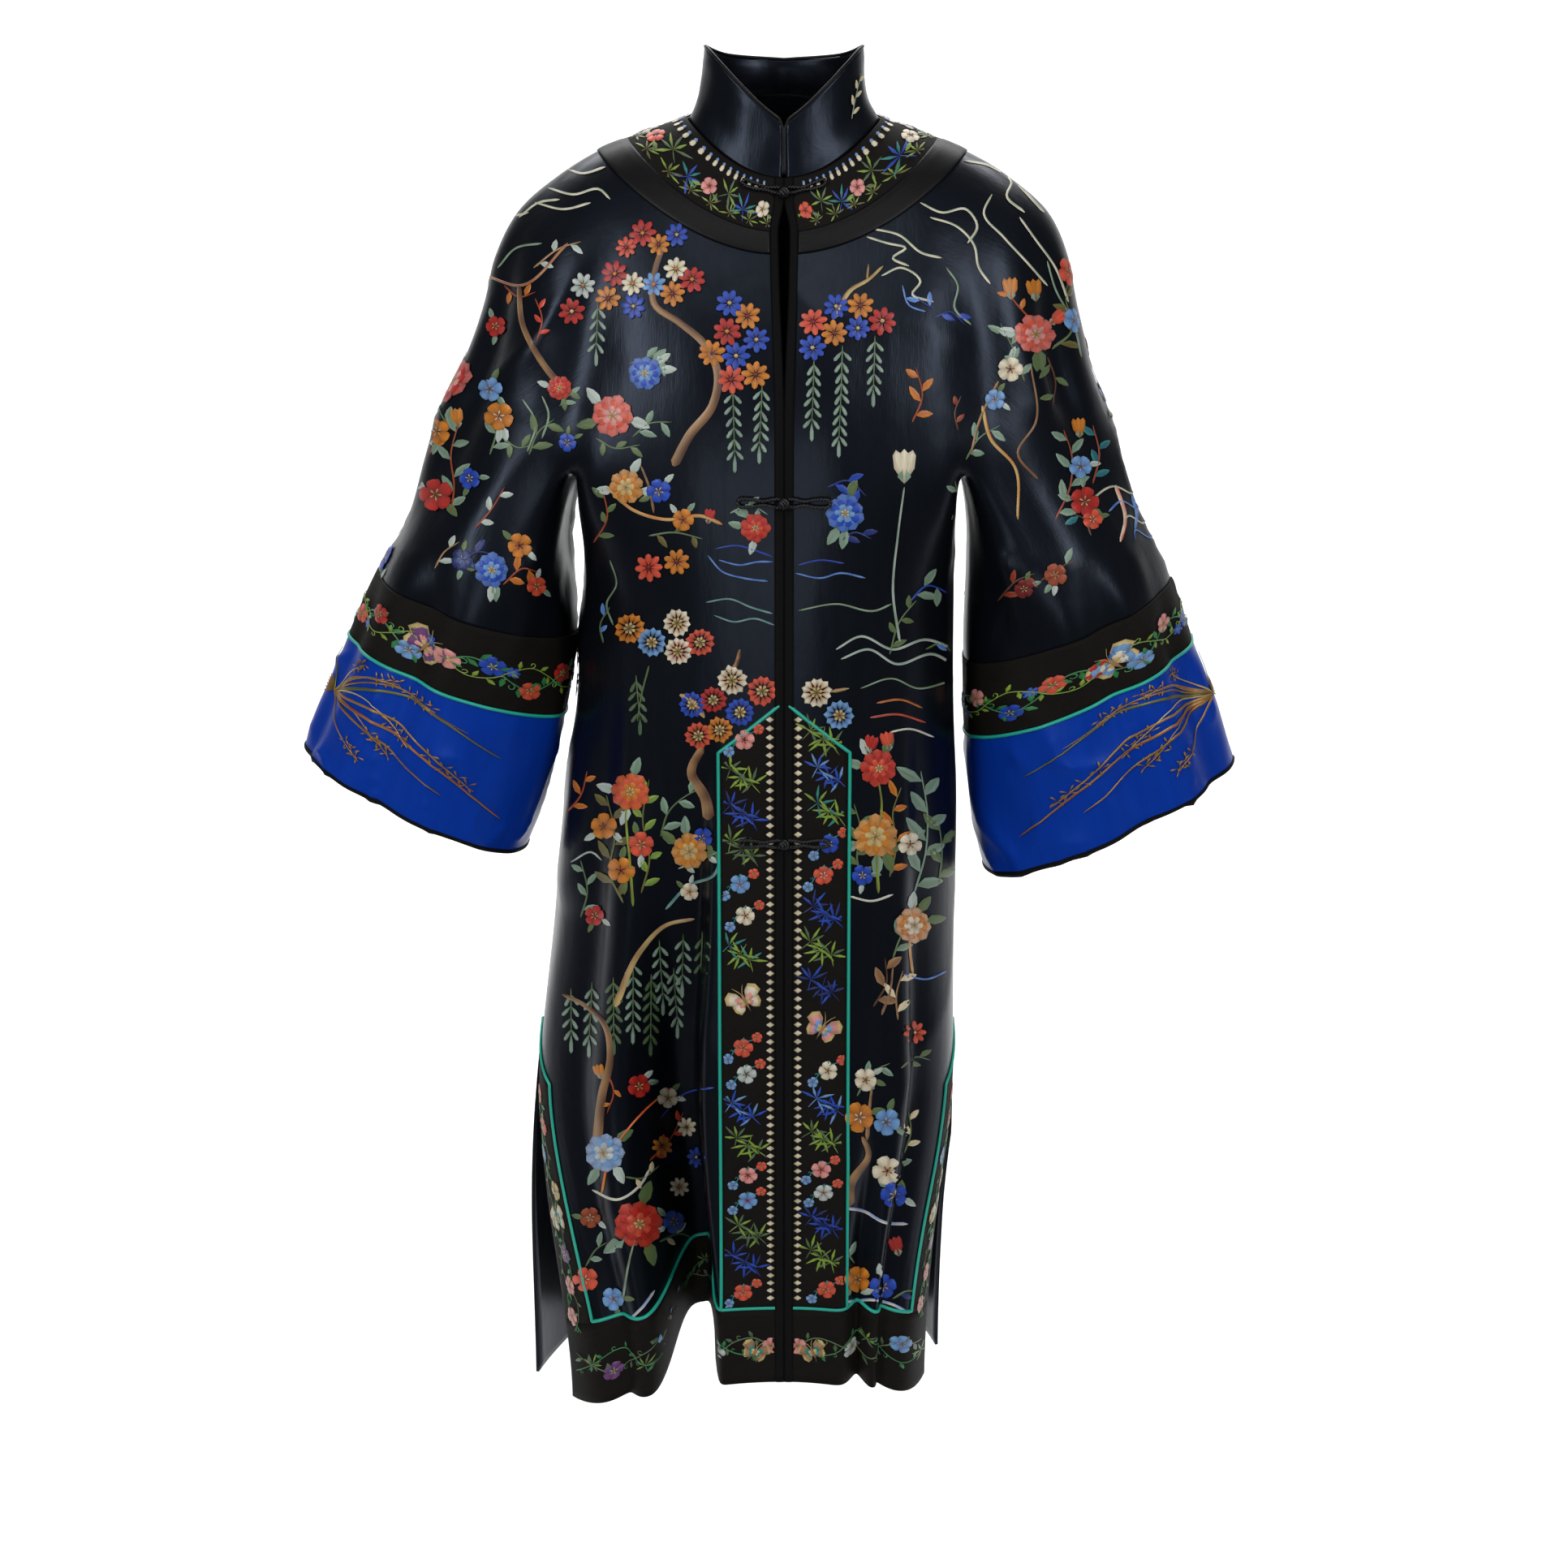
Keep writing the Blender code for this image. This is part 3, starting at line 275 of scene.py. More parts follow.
def trunk_point(side, face, u, v):
    depth = fold_depth(TRUNK_FOLDS, side, u, v, 2.0)
    outward = side * normal(lambda a, b: trunk_ring(side, face, a, b), u, np.maximum(v, 1.2), 0.06, 0.02)
    outward[..., 2] = 0
    point = trunk_ring(side, face, u, v) - outward * depth[..., None]
    point[..., 2] += FOLD_LIFT * depth * ease((v - LIFT_START_V) / (2 - LIFT_START_V))
    return point


def front_opening(v):
    opened, closed = ease((v - OPEN_V) / (WIDEST_V - OPEN_V)), ease((v - WIDEST_V) / (CLOSED_V - WIDEST_V))
    return FRONT_OPEN / 2 * opened * (1 - closed)


def panel_point(side, face, u, v):
    """A point of a front or a back, from the neck to the hem."""
    u, v = np.broadcast_arrays(np.asarray(u, float), np.asarray(v, float))
    past = u > FRONT_CORNER + PAST_EDGE if face == "front" else u < BACK_CORNER - PAST_EDGE
    v = np.where(past, np.maximum(v, 1.0), v)
    angle = panel_angle(face, u, raglan(side, v))
    point = np.where(
        (v < 1)[..., None], shoulder_point(side, angle, np.minimum(v, 1.0)), trunk_point(side, face, u, v)
    )
    if face == "front":
        point[..., 0] += side * front_opening(v) * (1 - np.clip(u, 0, 1)) ** 4
    return point


def sleeve_ring(side, q, v):
    share = np.where(q < 0.5, -q, 2 * UNDERARM_Q + 1 - q) / (2 * UNDERARM_Q)
    turn = raglan(side, 1.0)
    over = (q >= 0) & (q <= 1)
    angle = mix(turn, 180 - turn, np.clip(q, 0, 1))
    ring = np.where(over[..., None], shoulder_point(side, angle, np.ones_like(q)), under_arm(side, share))
    run = ring + np.array(SLEEVE_RUN) * np.array([side, 1, 1]) * (v - 1)[..., None]
    rows = SLEEVE[side]
    turned = np.pi * (0.5 - q) / (0.5 + UNDERARM_Q)
    reach = (1 + np.cos(turned)) / 2
    section = stacked(
        side * mix(along(rows, "inner_x", v), along(rows, "outer_x", v), reach),
        -along(rows, "depth", v) * np.sin(turned),
        mix(along(rows, "inner_z", v), along(rows, "outer_z", v), reach),
    )
    return mix(run, section, ease((v - 1) / SLEEVE_EASE)[..., None])


def sleeve_point(side, q, v):
    """A point of the sleeve, or of its band or cuff."""
    q, v = np.broadcast_arrays(np.asarray(q, float), np.asarray(v, float))
    v = np.where((q < -PAST_EDGE) | (q > 1 + PAST_EDGE), np.maximum(v, 1.0), v)
    turn = raglan(side, v)
    high = shoulder_point(side, mix(turn, 180 - turn, np.clip(q, 0, 1)), np.minimum(v, 1.0))
    low_v = np.maximum(v, 1.0)
    depth = fold_depth(SLEEVE_FOLDS, side, q, low_v, 2.0)
    outward = side * normal(lambda a, b: sleeve_ring(side, a, b), q, np.maximum(low_v, 1.04), 0.03, 0.02)
    low = sleeve_ring(side, q, low_v) - outward * depth[..., None]
    return np.where((v < 1)[..., None], high, low)


# The finer folds stand out of the large ones: long soft hollows that hang down the trunk, slanting ones on
# the sleeves, and a few sharp creases, all read from where the cloth is, so that they cross every seam.
LATTICE = np.random.default_rng(11).uniform(-1, 1, (32, 32, 32))
Waves = namedtuple("Waves", "per_x per_y per_z rise start sharp")
TRUNK_WAVES = [
    Waves(17.0, 11.0, 1.9, 0.0026, 3.3, False), Waves(44.0, 30.0, 5.0, 0.0007, 9.1, False),
    Waves(9.0, 8.0, 1.4, 0.0022, 15.7, True),
]
SLEEVE_WAVES = [
    Waves(21.0, 13.0, 4.4, 0.0052, 5.2, False), Waves(52.0, 34.0, 12.0, 0.0013, 7.9, False),
    Waves(11.0, 9.0, 3.6, 0.0062, 21.4, True),
]
CREASE_POWER, SLEEVE_LEAN = 9, 0.62
SLEEVE_FROM_X, SLEEVE_END_Z = 0.150, -0.69
NECK_Z, NEAR_HEM_Z, NEAR_CUFF_Z = -0.03, -0.98, -0.40
NECK_CALM, HEM_CALM, CUFF_CALM = 0.18, 0.6, 0.45


def wander(p):
    """Smooth noise from -1 to 1, with bumps one unit apart."""
    cell = np.floor(p).astype(int)
    share = ease(p - cell)
    total = np.zeros(p.shape[:-1])
    for corner in np.ndindex(2, 2, 2):
        i, j, k = np.moveaxis((cell + corner) % len(LATTICE), -1, 0)
        weight = np.prod(np.where(np.array(corner) == 1, share, 1 - share), axis=-1)
        total = total + weight * LATTICE[i, j, k]
    return total


def waves_at(waves, p):
    total = np.zeros(p.shape[:-1])
    for wave in waves:
        noise = wander(p * (wave.per_x, wave.per_y, wave.per_z) + wave.start)
        if wave.sharp:
            noise = (1 - np.abs(noise)) ** CREASE_POWER
        total = total + wave.rise * noise
    return total


def relief(p):
    """How far the finer folds stand out at the points p."""
    x, z = p[..., 0], p[..., 2]
    on_sleeve = ease((np.abs(x) - SLEEVE_FROM_X) / 0.05) * ease((z - SLEEVE_END_Z) / 0.05)
    leaned = p.copy()
    leaned[..., 0] += np.sign(x) * SLEEVE_LEAN * z
    calm = mix(NECK_CALM, 1.0, ease((NECK_Z - z) / 0.16)) * mix(1.0, HEM_CALM, ease((NEAR_HEM_Z - z) / 0.06))
    calm = calm * mix(1.0, CUFF_CALM, on_sleeve * ease((NEAR_CUFF_Z - z) / 0.08))
    return calm * mix(waves_at(TRUNK_WAVES, p), waves_at(SLEEVE_WAVES, leaned), on_sleeve)


class Wire:
    """A socket of a finish's nodes, on which sums are written as in Python."""

    def __init__(self, finish, socket):
        self.finish, self.socket = finish, socket

    def done(self, operation, first, second=0.0):
        return self.finish.node("Math", {0: first, 1: second}, operation=operation)

    def __add__(self, other):
        return self.done("ADD", self, other)

    def __sub__(self, other):
        return self.done("SUBTRACT", self, other)

    def __rsub__(self, other):
        return self.done("SUBTRACT", other, self)

    def __mul__(self, other):
        return self.done("MULTIPLY", self, other)

    __radd__, __rmul__ = __add__, __mul__


class Finish:
    """A material, with its Principled shader and one way to add any other node."""

    def __init__(self, name, **constants):
        self.material = bpy.data.materials.new(name)
        self.material.use_nodes = True
        self.tree = self.material.node_tree
        self.shader = self.tree.nodes["Principled BSDF"]
        for socket, value in constants.items():
            self.shader.inputs[socket.replace("_", " ")].default_value = value

    def node(self, kind, sockets=None, out=0, **settings):
        made = self.tree.nodes.new("ShaderNode" + kind)
        for name, value in settings.items():
            setattr(made, name, value)
        for name, value in (sockets or {}).items():
            if isinstance(value, Wire):
                self.tree.links.new(value.socket, made.inputs[name])
            else:
                made.inputs[name].default_value = value
        return Wire(self, made.outputs[out])

    def feed(self, socket, wire):
        self.tree.links.new(wire.socket, self.shader.inputs[socket])

    def noise(self, where, scale, detail=2.0, stretch=(1, 1, 1)):
        placed = self.node("Mapping", {"Vector": where, "Scale": stretch})
        return self.node("TexNoise", {"Vector": placed, "Scale": scale, "Detail": detail}, out="Fac")

    def tinted(self, share, first, second):
        return self.node("Mix", {0: share, 6: first, 7: second}, out=2, data_type="RGBA", clamp_factor=True)

    def raised(self, height, distance, strength=1.0):
        bump = self.node("Bump", {"Height": height, "Distance": distance, "Strength": strength}, out="Normal")
        self.feed("Normal", bump)


def dye(code):
    """A colour as a dyer's card gives it, in hexadecimal, as the shader's linear red, green and blue."""
    parts = [int(code[i:i + 2], 16) / 255 for i in (0, 2, 4)]
    return tuple(p / 12.92 if p < 0.04045 else ((p + 0.055) / 1.055) ** 2.4 for p in parts) + (1.0,)


def satin(name, deep, lit, rough, crush, **constants):
    """Satin: floats of warp thread along the cloth, slight slubs, and small soft crumples between them."""
    finish = Finish(name, Metallic=0.0, **constants)
    flat = finish.node("UVMap", out="UV", uv_map="cloth")
    place = finish.node("TexCoord", out="Object")
    floats = finish.noise(flat, 900.0, 2.0, (1.0, 0.10, 1.0))
    slubs = finish.noise(flat, 120.0, 2.0, (1.0, 0.06, 1.0))
    crumple = finish.noise(place, 26.0, 3.0, (1.0, 1.0, 0.45))
    worn = finish.noise(place, 7.0, 3.0)
    finish.feed("Base Color", finish.tinted(slubs * 0.55 + worn * 0.45, dye(deep), dye(lit)))
    finish.feed("Roughness", rough - 0.05 + floats * 0.06 + worn * 0.05)
    finish.raised(floats * 0.10 + slubs * 0.12 + crumple * crush, 0.0016, 0.55)
    return finish.material


BLACK_SATIN = satin(
    "black_satin", "06070a", "0c0f15", 0.31, 1.1, Specular_IOR_Level=0.27, Specular_Tint=dye("c2d2f0"),
)


def lengths_along(points, axis):
    """How far each point of a grid lies from the grid's first edge, along the cloth."""
    return np.cumsum(np.linalg.norm(np.diff(points, axis=axis), axis=-1), axis=axis)


def grid_places(work, rows, columns):
    """Adds a grid of faces, and gives the row and column of each of its corners."""
    made = bmesh.ops.create_grid(work, x_segments=columns - 1, y_segments=rows - 1, size=1.0)["verts"]
    return {vert: (round((vert.co.y + 1) / 2 * (rows - 1)), round((vert.co.x + 1) / 2 * (columns - 1)))
            for vert in made}


def add_grid(work, points, keep=None):
    """Adds the cloth between a grid of points, with its flat layout as UVs. keep says which faces stay."""
    uv = work.loops.layers.uv.get("cloth") or work.loops.layers.uv.new("cloth")
    flat = np.zeros(points.shape[:2] + (2,))
    flat[:, 1:, 0], flat[1:, :, 1] = lengths_along(points, 1), lengths_along(points, 0)
    place, unused = grid_places(work, *points.shape[:2]), []
    for face in {face for vert in place for face in vert.link_faces}:
        corners = [place[vert] for vert in face.verts]
        if keep is not None and not keep(min(i for _, i in corners), min(j for j, _ in corners)):
            unused.append(face)
        for loop in face.loops:
            loop[uv].uv = flat[place[loop.vert]]
    for vert, at in place.items():
        vert.co = points[at]
    bmesh.ops.delete(work, geom=unused, context="FACES")


def turned_out(work, near, towards):
    """Points the faces outwards, as the one nearest to a place shows."""
    bmesh.ops.recalc_face_normals(work, faces=work.faces)
    near, towards = Vector(near), Vector(towards)
    nearest = min(work.faces, key=lambda face: (face.calc_center_median() - near).length_squared)
    if nearest.normal.dot(towards) < 0:
        bmesh.ops.reverse_faces(work, faces=work.faces)


def made_piece(name, work, material, nodes=(), wall=None):
    """The finished object, which stands for the nodes named and rides on the body."""
    mesh = bpy.data.meshes.new(name)
    work.to_mesh(mesh)
    work.free()
    mesh.shade_smooth()
    mesh.materials.append(material)
    piece = bpy.data.objects.new(name, mesh)
    bpy.context.scene.collection.objects.link(piece)
    if wall:
        thick = piece.modifiers.new("wall", "SOLIDIFY")
        thick.thickness = wall
        thick.offset = -1.0
    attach(piece, "root")
    if nodes:
        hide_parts(*nodes)
    return piece


# The grid lines of the cloth, closer together across the right front's deep fold.
ARM_ROWS, TRUNK_ROWS, SLEEVE_ROWS = 60, 150, 24
SIDE_CELLS, OVER_CELLS, FRONT_CELLS, BACK_CELLS = 12, 56, 48, 44
FOLD_FROM_U, FOLD_TO_U = 0.24, 0.58
SHOULDER_V = np.linspace(0, 1, ARM_ROWS + 1)
BODY_V = np.concatenate([SHOULDER_V, np.linspace(1, 2, TRUNK_ROWS + 1)[1:]])
SLEEVE_V = np.concatenate([SHOULDER_V, np.linspace(1, BAND_TOP_V, SLEEVE_ROWS + 1)[1:]])
EVEN_U = np.linspace(0, FRONT_CORNER, FRONT_CELLS + 1)
FOLDED_U = np.concatenate([
    np.linspace(0, FOLD_FROM_U, 13), np.linspace(FOLD_FROM_U, FOLD_TO_U, FRONT_CELLS + 1)[1:],
    np.linspace(FOLD_TO_U, FRONT_CORNER, 13)[1:],
])
UNDER_Q = np.linspace(0, UNDERARM_Q, SIDE_CELLS + 1)[1:]
SLEEVE_Q = np.concatenate([-UNDER_Q[::-1], np.linspace(0, 1, OVER_CELLS + 1), 1 + UNDER_Q])
CLOTH_TREES = {}
MERGE = 4e-5
# Under the arms the cloth is softened, this much below the seam and out from the middle.
SOFT_BELOW, SOFT_REACH, SOFT_FROM_X, SOFT_PASSES = 0.02, 0.06, 0.05, 30


def joined_sleeve(side, q, v):
    """The sleeve, with its first row under the arm on the trunk's own."""
    fore, aft = (
        panel_point(side, face, corner + turn * FRONT_CORNER * np.clip(off, 0, 1), np.ones_like(v))
        for face, corner, turn, off in (("front", FRONT_CORNER, 1, -q), ("back", BACK_CORNER, -1, q - 1))
    )
    at_seam = (np.abs(v - 1) < 1e-9)[..., None]
    point = sleeve_point(side, q, v)
    point = np.where(at_seam & (q <= 0)[..., None], fore, point)
    return np.where(at_seam & (q >= 1)[..., None], aft, point)


for side in (RIGHT, LEFT):
    half = bmesh.new()
    for face, columns, ends in (
        ("front", FOLDED_U if side == RIGHT else EVEN_U, FRONT_CORNER),
        ("back", np.linspace(2.0, BACK_CORNER, BACK_CELLS + 1), BACK_CORNER),
    ):
        columns = np.concatenate([columns, np.linspace(ends, 1.0, SIDE_CELLS + 1)[1:]])
        down, across = np.meshgrid(BODY_V, columns, indexing="ij")
        last = len(columns) - 1 - SIDE_CELLS
        add_grid(half, panel_point(side, face, across, down), lambda i, j: i < last or j >= ARM_ROWS)
    down, across = np.meshgrid(SLEEVE_V, SLEEVE_Q, indexing="ij")
    add_grid(half, joined_sleeve(side, across, down),
             lambda i, j: j >= ARM_ROWS or SIDE_CELLS <= i < SIDE_CELLS + OVER_CELLS)
    bmesh.ops.remove_doubles(half, verts=half.verts, dist=MERGE)
    turned_out(half, (side * 0.06, -0.14, -0.45), (0, -1, 0))
    soft = [vert for vert in half.verts if abs(vert.co.z - UNDERARM_Z + SOFT_BELOW) < SOFT_REACH
            and abs(vert.co.x) > SOFT_FROM_X and not vert.is_boundary]
    for _ in range(SOFT_PASSES):
        bmesh.ops.smooth_vert(half, verts=soft, factor=0.5, use_axis_x=True, use_axis_y=True, use_axis_z=True)
    half.normal_update()
    for vert, rise in zip(half.verts, relief(np.array([vert.co for vert in half.verts]))):
        way = vert.normal.copy()
        if abs(vert.co.x) < 1e-4 and vert.co.y > 0:
            way.x = 0
        vert.co += way * rise
    worn = SIDE_NAMES[side]
    CLOTH_TREES[side] = BVHTree.FromBMesh(half)
    cloth_half = made_piece(f"body_{worn}", half, BLACK_SATIN,
                            (f"front_{worn}", f"back_{worn}", f"sleeve_{worn}"), CLOTH_WALL)


# The yoke and its border.
# A ring of black ribbed silk, embroidered, round the neck, laid on the body and edged with a plain satin band
# that is stitched down along both its sides.

TRIM_HEIGHT, TRIM_WALL = 0.0013, 0.0009
YOKE_SEAM_V, YOKE_EDGE_V, YOKE_LAP_V, BINDING = 0.20, 0.28, 0.004, 0.0080
PUFF, STITCH_DEPTH = 0.0006, 0.0005
YOKE_CUT, YOKE_AREA = (0.31, 0.28), 0.028
YOKE_BORDER_CUT, YOKE_BORDER_AREA = (0.36, 0.15), 0.018


def u_of(side, x, v):
    """u of the point of a front that lies x from the centre line."""
    high = half_width(SHOULDER, side, np.clip(v, 0, 1)) * np.sin(np.radians(raglan(side, v)))
    low = CORNER_SHARE * half_width(TRUNK, side, np.clip(v, 1, 2))
    corner = mix(high, low, ease((v - 1) / UNDERARM_EASE))
    return x / mix(corner / FRONT_CORNER, HEMS[side, "front"].edge_x, slit_share(v))


def neck_point(w, v):
    """A point near the neck. w goes round from 0 at the right front's edge by 3 at the back to 6."""
    w, v = np.broadcast_arrays(np.asarray(w, float), np.asarray(v, float))
    point = np.zeros(w.shape + (3,))
    for side, t in ((RIGHT, w), (LEFT, 6 - w)):
        whole = np.select(
            [(t <= 1)[..., None], (t <= 2)[..., None]],
            [panel_point(side, "front", t * FRONT_CORNER, v), sleeve_point(side, t - 1, v)],
            panel_point(side, "back", mix(BACK_CORNER, 2.0, np.clip(t - 2, 0, 1)), v),
        )
        here = (w <= 3) if side == RIGHT else (w > 3)
        point = np.where(here[..., None], whole, point)
    return point


def creased(surface, height, flip):
    """The surface with the finer folds of the cloth, and so many metres out from it."""
    def placed(a, b):
        base = surface(a, b)
        return base + flip * normal(surface, a, b) * (relief(base) + height)[..., None]
    return placed


def laid(name, points, material, node, outwards, wall=TRIM_WALL, closed=False):
    """A piece of cloth on a grid of points. outwards is a place near it, and the way out from there."""
    work = bmesh.new()
    add_grid(work, points)
    if closed:
        bmesh.ops.remove_doubles(work, verts=work.verts, dist=MERGE)
    turned_out(work, *outwards)
    return made_piece(name, work, material, (node,), wall)


def ground(name, deep, lit, rough, rib, **constants):
    """Ribbed silk: fine ribs across the cloth, a little uneven, with a dull glow."""
    finish = Finish(name, Metallic=0.0, **constants)
    flat = finish.node("UVMap", out="UV", uv_map="cloth")
    place = finish.node("TexCoord", out="Object")
    ribs = finish.node("TexWave", {"Vector": flat, "Scale": rib, "Distortion": 0.6, "Detail": 1.0}, out="Fac",
                       bands_direction="Y")
    worn = finish.noise(place, 18.0, 3.0)
    slubs = finish.noise(flat, 260.0, 2.0, (0.12, 1.0, 1.0))
    finish.feed("Base Color", finish.tinted(worn * 0.6 + slubs * 0.4, dye(deep), dye(lit)))
    finish.feed("Roughness", rough + worn * 0.12 - ribs * 0.04)
    finish.raised(ribs * 0.6 + slubs * 0.4, 0.0004, 0.6)
    return finish.material


RIBBED_GROUND = ground("ribbed_ground", "0d0b0a", "1a1714", 0.60, 300.0, Specular_IOR_Level=0.08)
EDGE_SATIN = satin("edge_satin", "070708", "100f12", 0.42, 0.5, Specular_IOR_Level=0.16)
FRONT_OUT = ((0, -0.14, -0.12), (0, -1, 0.3))

for name, node, material, slot, ends, lines, cut, area in (
    ("yoke_ring", "yoke", RIBBED_GROUND, "embroidered", (0.0, YOKE_SEAM_V), 26, YOKE_CUT, YOKE_AREA),
    ("yoke_edging", "yoke_border", EDGE_SATIN, "satin", (YOKE_SEAM_V - YOKE_LAP_V, YOKE_EDGE_V), 14,
     YOKE_BORDER_CUT, YOKE_BORDER_AREA),
):
    rows = np.linspace(*ends, lines)
    first = u_of(RIGHT, BINDING, rows) / FRONT_CORNER
    last = 6 - u_of(LEFT, BINDING, rows) / FRONT_CORNER
    share = np.linspace(0, 1, 241)
    across = mix(first[:, None], last[:, None], share[None, :])
    down = np.repeat(rows[:, None], len(share), axis=1)
    rise = TRIM_HEIGHT
    if node == "yoke_border":
        over = (down - ends[0]) / (ends[1] - ends[0])
        stitched_down = np.exp(-(((over - 0.12) / 0.05) ** 2))
        rise = TRIM_HEIGHT + PUFF * (1 - np.abs(2 * over - 1) ** 6) - STITCH_DEPTH * stitched_down
    piece = laid(name, creased(neck_point, rise, RIGHT)(across, down), material, node, FRONT_OUT)


# The collar.
# Two layers of black satin stand up from the neck and lean out in front, and a rolled edge of the same satin
# binds them.

Tier = namedtuple("Tier", "share half_x half_y")
COLLAR_TIERS = [
    Tier(0.00, 0.0805, 0.0645), Tier(0.25, 0.0722, 0.0615), Tier(0.55, 0.0685, 0.0598),
    Tier(1.00, 0.0672, 0.0588),
]
Rim = namedtuple("Rim", "angle z")
COLLAR_RIM = [
    Rim(0.0, -0.003), Rim(15.0, 0.010), Rim(30.0, 0.025), Rim(50.0, 0.043),
    Rim(72.0, 0.056), Rim(92.0, 0.058), Rim(135.0, 0.050), Rim(180.0, 0.046),
]
COLLAR_END, COLLAR_WALL, ROLL_RADIUS = 1.5, 0.0018, 0.0014


def collar_point(angle, share):
    """A point of the collar. Angle runs all round from the centre front by the right side."""
    angle, share = np.broadcast_arrays(np.asarray(angle, float), np.asarray(share, float))
    around = np.abs(np.where(angle < -180.0, angle + 360.0, angle))
    base = shoulder_ring(LEFT, around, np.zeros_like(around))[..., 2]
    sin, cos = np.sin(np.radians(angle)), np.cos(np.radians(angle))
    z = mix(base, along(COLLAR_RIM, "z", around), share)
    half_x, half_y = along(COLLAR_TIERS, "half_x", share), along(COLLAR_TIERS, "half_y", share)
    point = stacked(half_x * sin, -half_y * cos, z)
    soft = 0.0016 * wander(point * (24, 24, 14) + 3.7) + 0.0010 * wander(point * (60, 60, 30) + 8.2)
    held = ease(share / 0.3) * ease((1 - share) / 0.2)
    return point + stacked(sin, -cos, np.zeros_like(sin)) * (soft * held)[..., None]


def rope(work, path, radius, sides):
    """Adds a round cord along a path, with rounded ends and its length and turns as UVs."""
    ahead = unit(np.gradient(path, axis=0))
    beside = [np.cross(ahead[0], (0, 0, 1))]
    for way in ahead[1:]:
        beside.append(beside[-1] - way * np.dot(beside[-1], way))
        beside[-1] /= max(np.linalg.norm(beside[-1]), 1e-12)
    beside = np.array(beside)
    beside[0] /= max(np.linalg.norm(beside[0]), 1e-12)
    over = np.cross(beside, ahead)
    turn = np.linspace(0, 2 * np.pi, sides + 1)[None, :, None]
    size = np.ones(len(path)) * radius
    size[0] = size[-1] = radius * 0.05
    ring = np.cos(turn) * beside[:, None] + np.sin(turn) * over[:, None]
    add_grid(work, path[:, None] + ring * size[:, None, None])


def closed_up(work):
    bmesh.ops.remove_doubles(work, verts=work.verts, dist=1.5e-5)
    bmesh.ops.recalc_face_normals(work, faces=work.faces)
    return work


angles, shares = np.linspace(-COLLAR_END, COLLAR_END - 360, 181), np.linspace(0, 1, 25)
down, across = np.meshgrid(shares, angles, indexing="ij")
collar = laid("collar_wall", collar_point(across, down), BLACK_SATIN, "collar",
              ((0, -0.06, -0.02), (0, -1, 0)), wall=COLLAR_WALL)

top = COLLAR_TIERS[-1]
inset = np.array([1 - COLLAR_WALL / 2 / top.half_x, 1 - COLLAR_WALL / 2 / top.half_y, 1.0])
rim = collar_point(angles, np.ones(len(angles))) * inset + (0, 0, ROLL_RADIUS)
first_edge, last_edge = (collar_point(angle, np.linspace(0.05, 0.9, 12)) * inset for angle in angles[[0, -1]])
for edge in (first_edge, last_edge):
    edge[:, 0] -= np.sign(edge[:, 0]) * (ROLL_RADIUS * 0.8)
rolled = bmesh.new()
rope(rolled, np.concatenate([first_edge, rim[1:-1], last_edge[::-1]]), ROLL_RADIUS, 10)
made_piece("collar_roll", closed_up(rolled), EDGE_SATIN, ("collar_binding",))


# The bands and borders of the fronts and backs.
# Ribbed silk strips laid on the body: a band with a pointed top down each front, and a border along the hem
# and up the slits. A satin piping finishes each, and a narrow black binding runs down the open edges.

BAND_APEX_V, BAND_SHOULDER_V, BAND_HALF = 1.238, 1.288, 0.054
BORDER_V, PIPING, PIPING_V, BACK_MIDDLE_U = 1.915, 0.0030, 0.0045, 2.0
SLIT_BORDER_U = {"front": 0.84, "back": 1.16}
SLIT_PIPING_U = 0.012
ROW_STEP = 0.0075
PIPING_CELLS, PIPING_LIFT, PIPING_CROWN, PIPING_WALL, EDGE_CROWN = 4, 0.0006, 0.0017, 0.0012, 0.0007
BORDER_CUTS = {
    (RIGHT, "front"): ((0.30, 0.36), 0.039), (LEFT, "front"): ((0.23, 0.35), 0.026),
    (RIGHT, "back"): ((0.30, 0.38), 0.043), (LEFT, "back"): ((0.25, 0.37), 0.032),
}


def slit_edge_u(side, face, v):
    return mix(SLIT_BORDER_U[face], HEMS[side, face].border_u, slit_share(v))


def rows_between(first, last):
    return np.linspace(first, last, max(2, round((last - first) / ROW_STEP) + 1))


def ribbon(work, surface, flip, path, width, height=PIPING_LIFT):
    """Adds a narrow strip along a path of the surface's two values, crowned like a piping."""
    a, b = path.T
    middle, out = surface(a, b), flip * normal(surface, a, b)
    beside = unit(np.cross(np.gradient(middle, axis=0), out))
    middle = middle + out * relief(middle)[:, None]
    share = np.linspace(-1, 1, PIPING_CELLS + 1)[None, :, None]
    high = height + PIPING_CROWN * np.sqrt(np.maximum(1 - share**2, 0))
    add_grid(work, middle[:, None] + beside[:, None] * share * width / 2 + out[:, None] * high)


def along_path(*corners, step=0.006):
    """Evenly spaced points of a broken line between corners, in the surface's two values."""
    corners = np.array(corners, float)
    parts = [corners[:1]]
    for start, end in zip(corners[:-1], corners[1:]):
        count = max(2, int(np.abs(end - start).max() / step) + 1)
        parts.append(start + (end - start) * np.linspace(0, 1, count)[1:, None])
    return np.concatenate(parts)


PIPING_SILK = satin(
    "piping_silk", "0d8f7c", "19b39a", 0.42, 0.2, Specular_IOR_Level=0.5, Sheen_Weight=0.1,
    Sheen_Roughness=0.4, Sheen_Tint=dye("9ff0dd"),
)
BINDING_SILK = ground("binding_silk", "060506", "0d0c0e", 0.62, 420.0, Specular_IOR_Level=0.10)

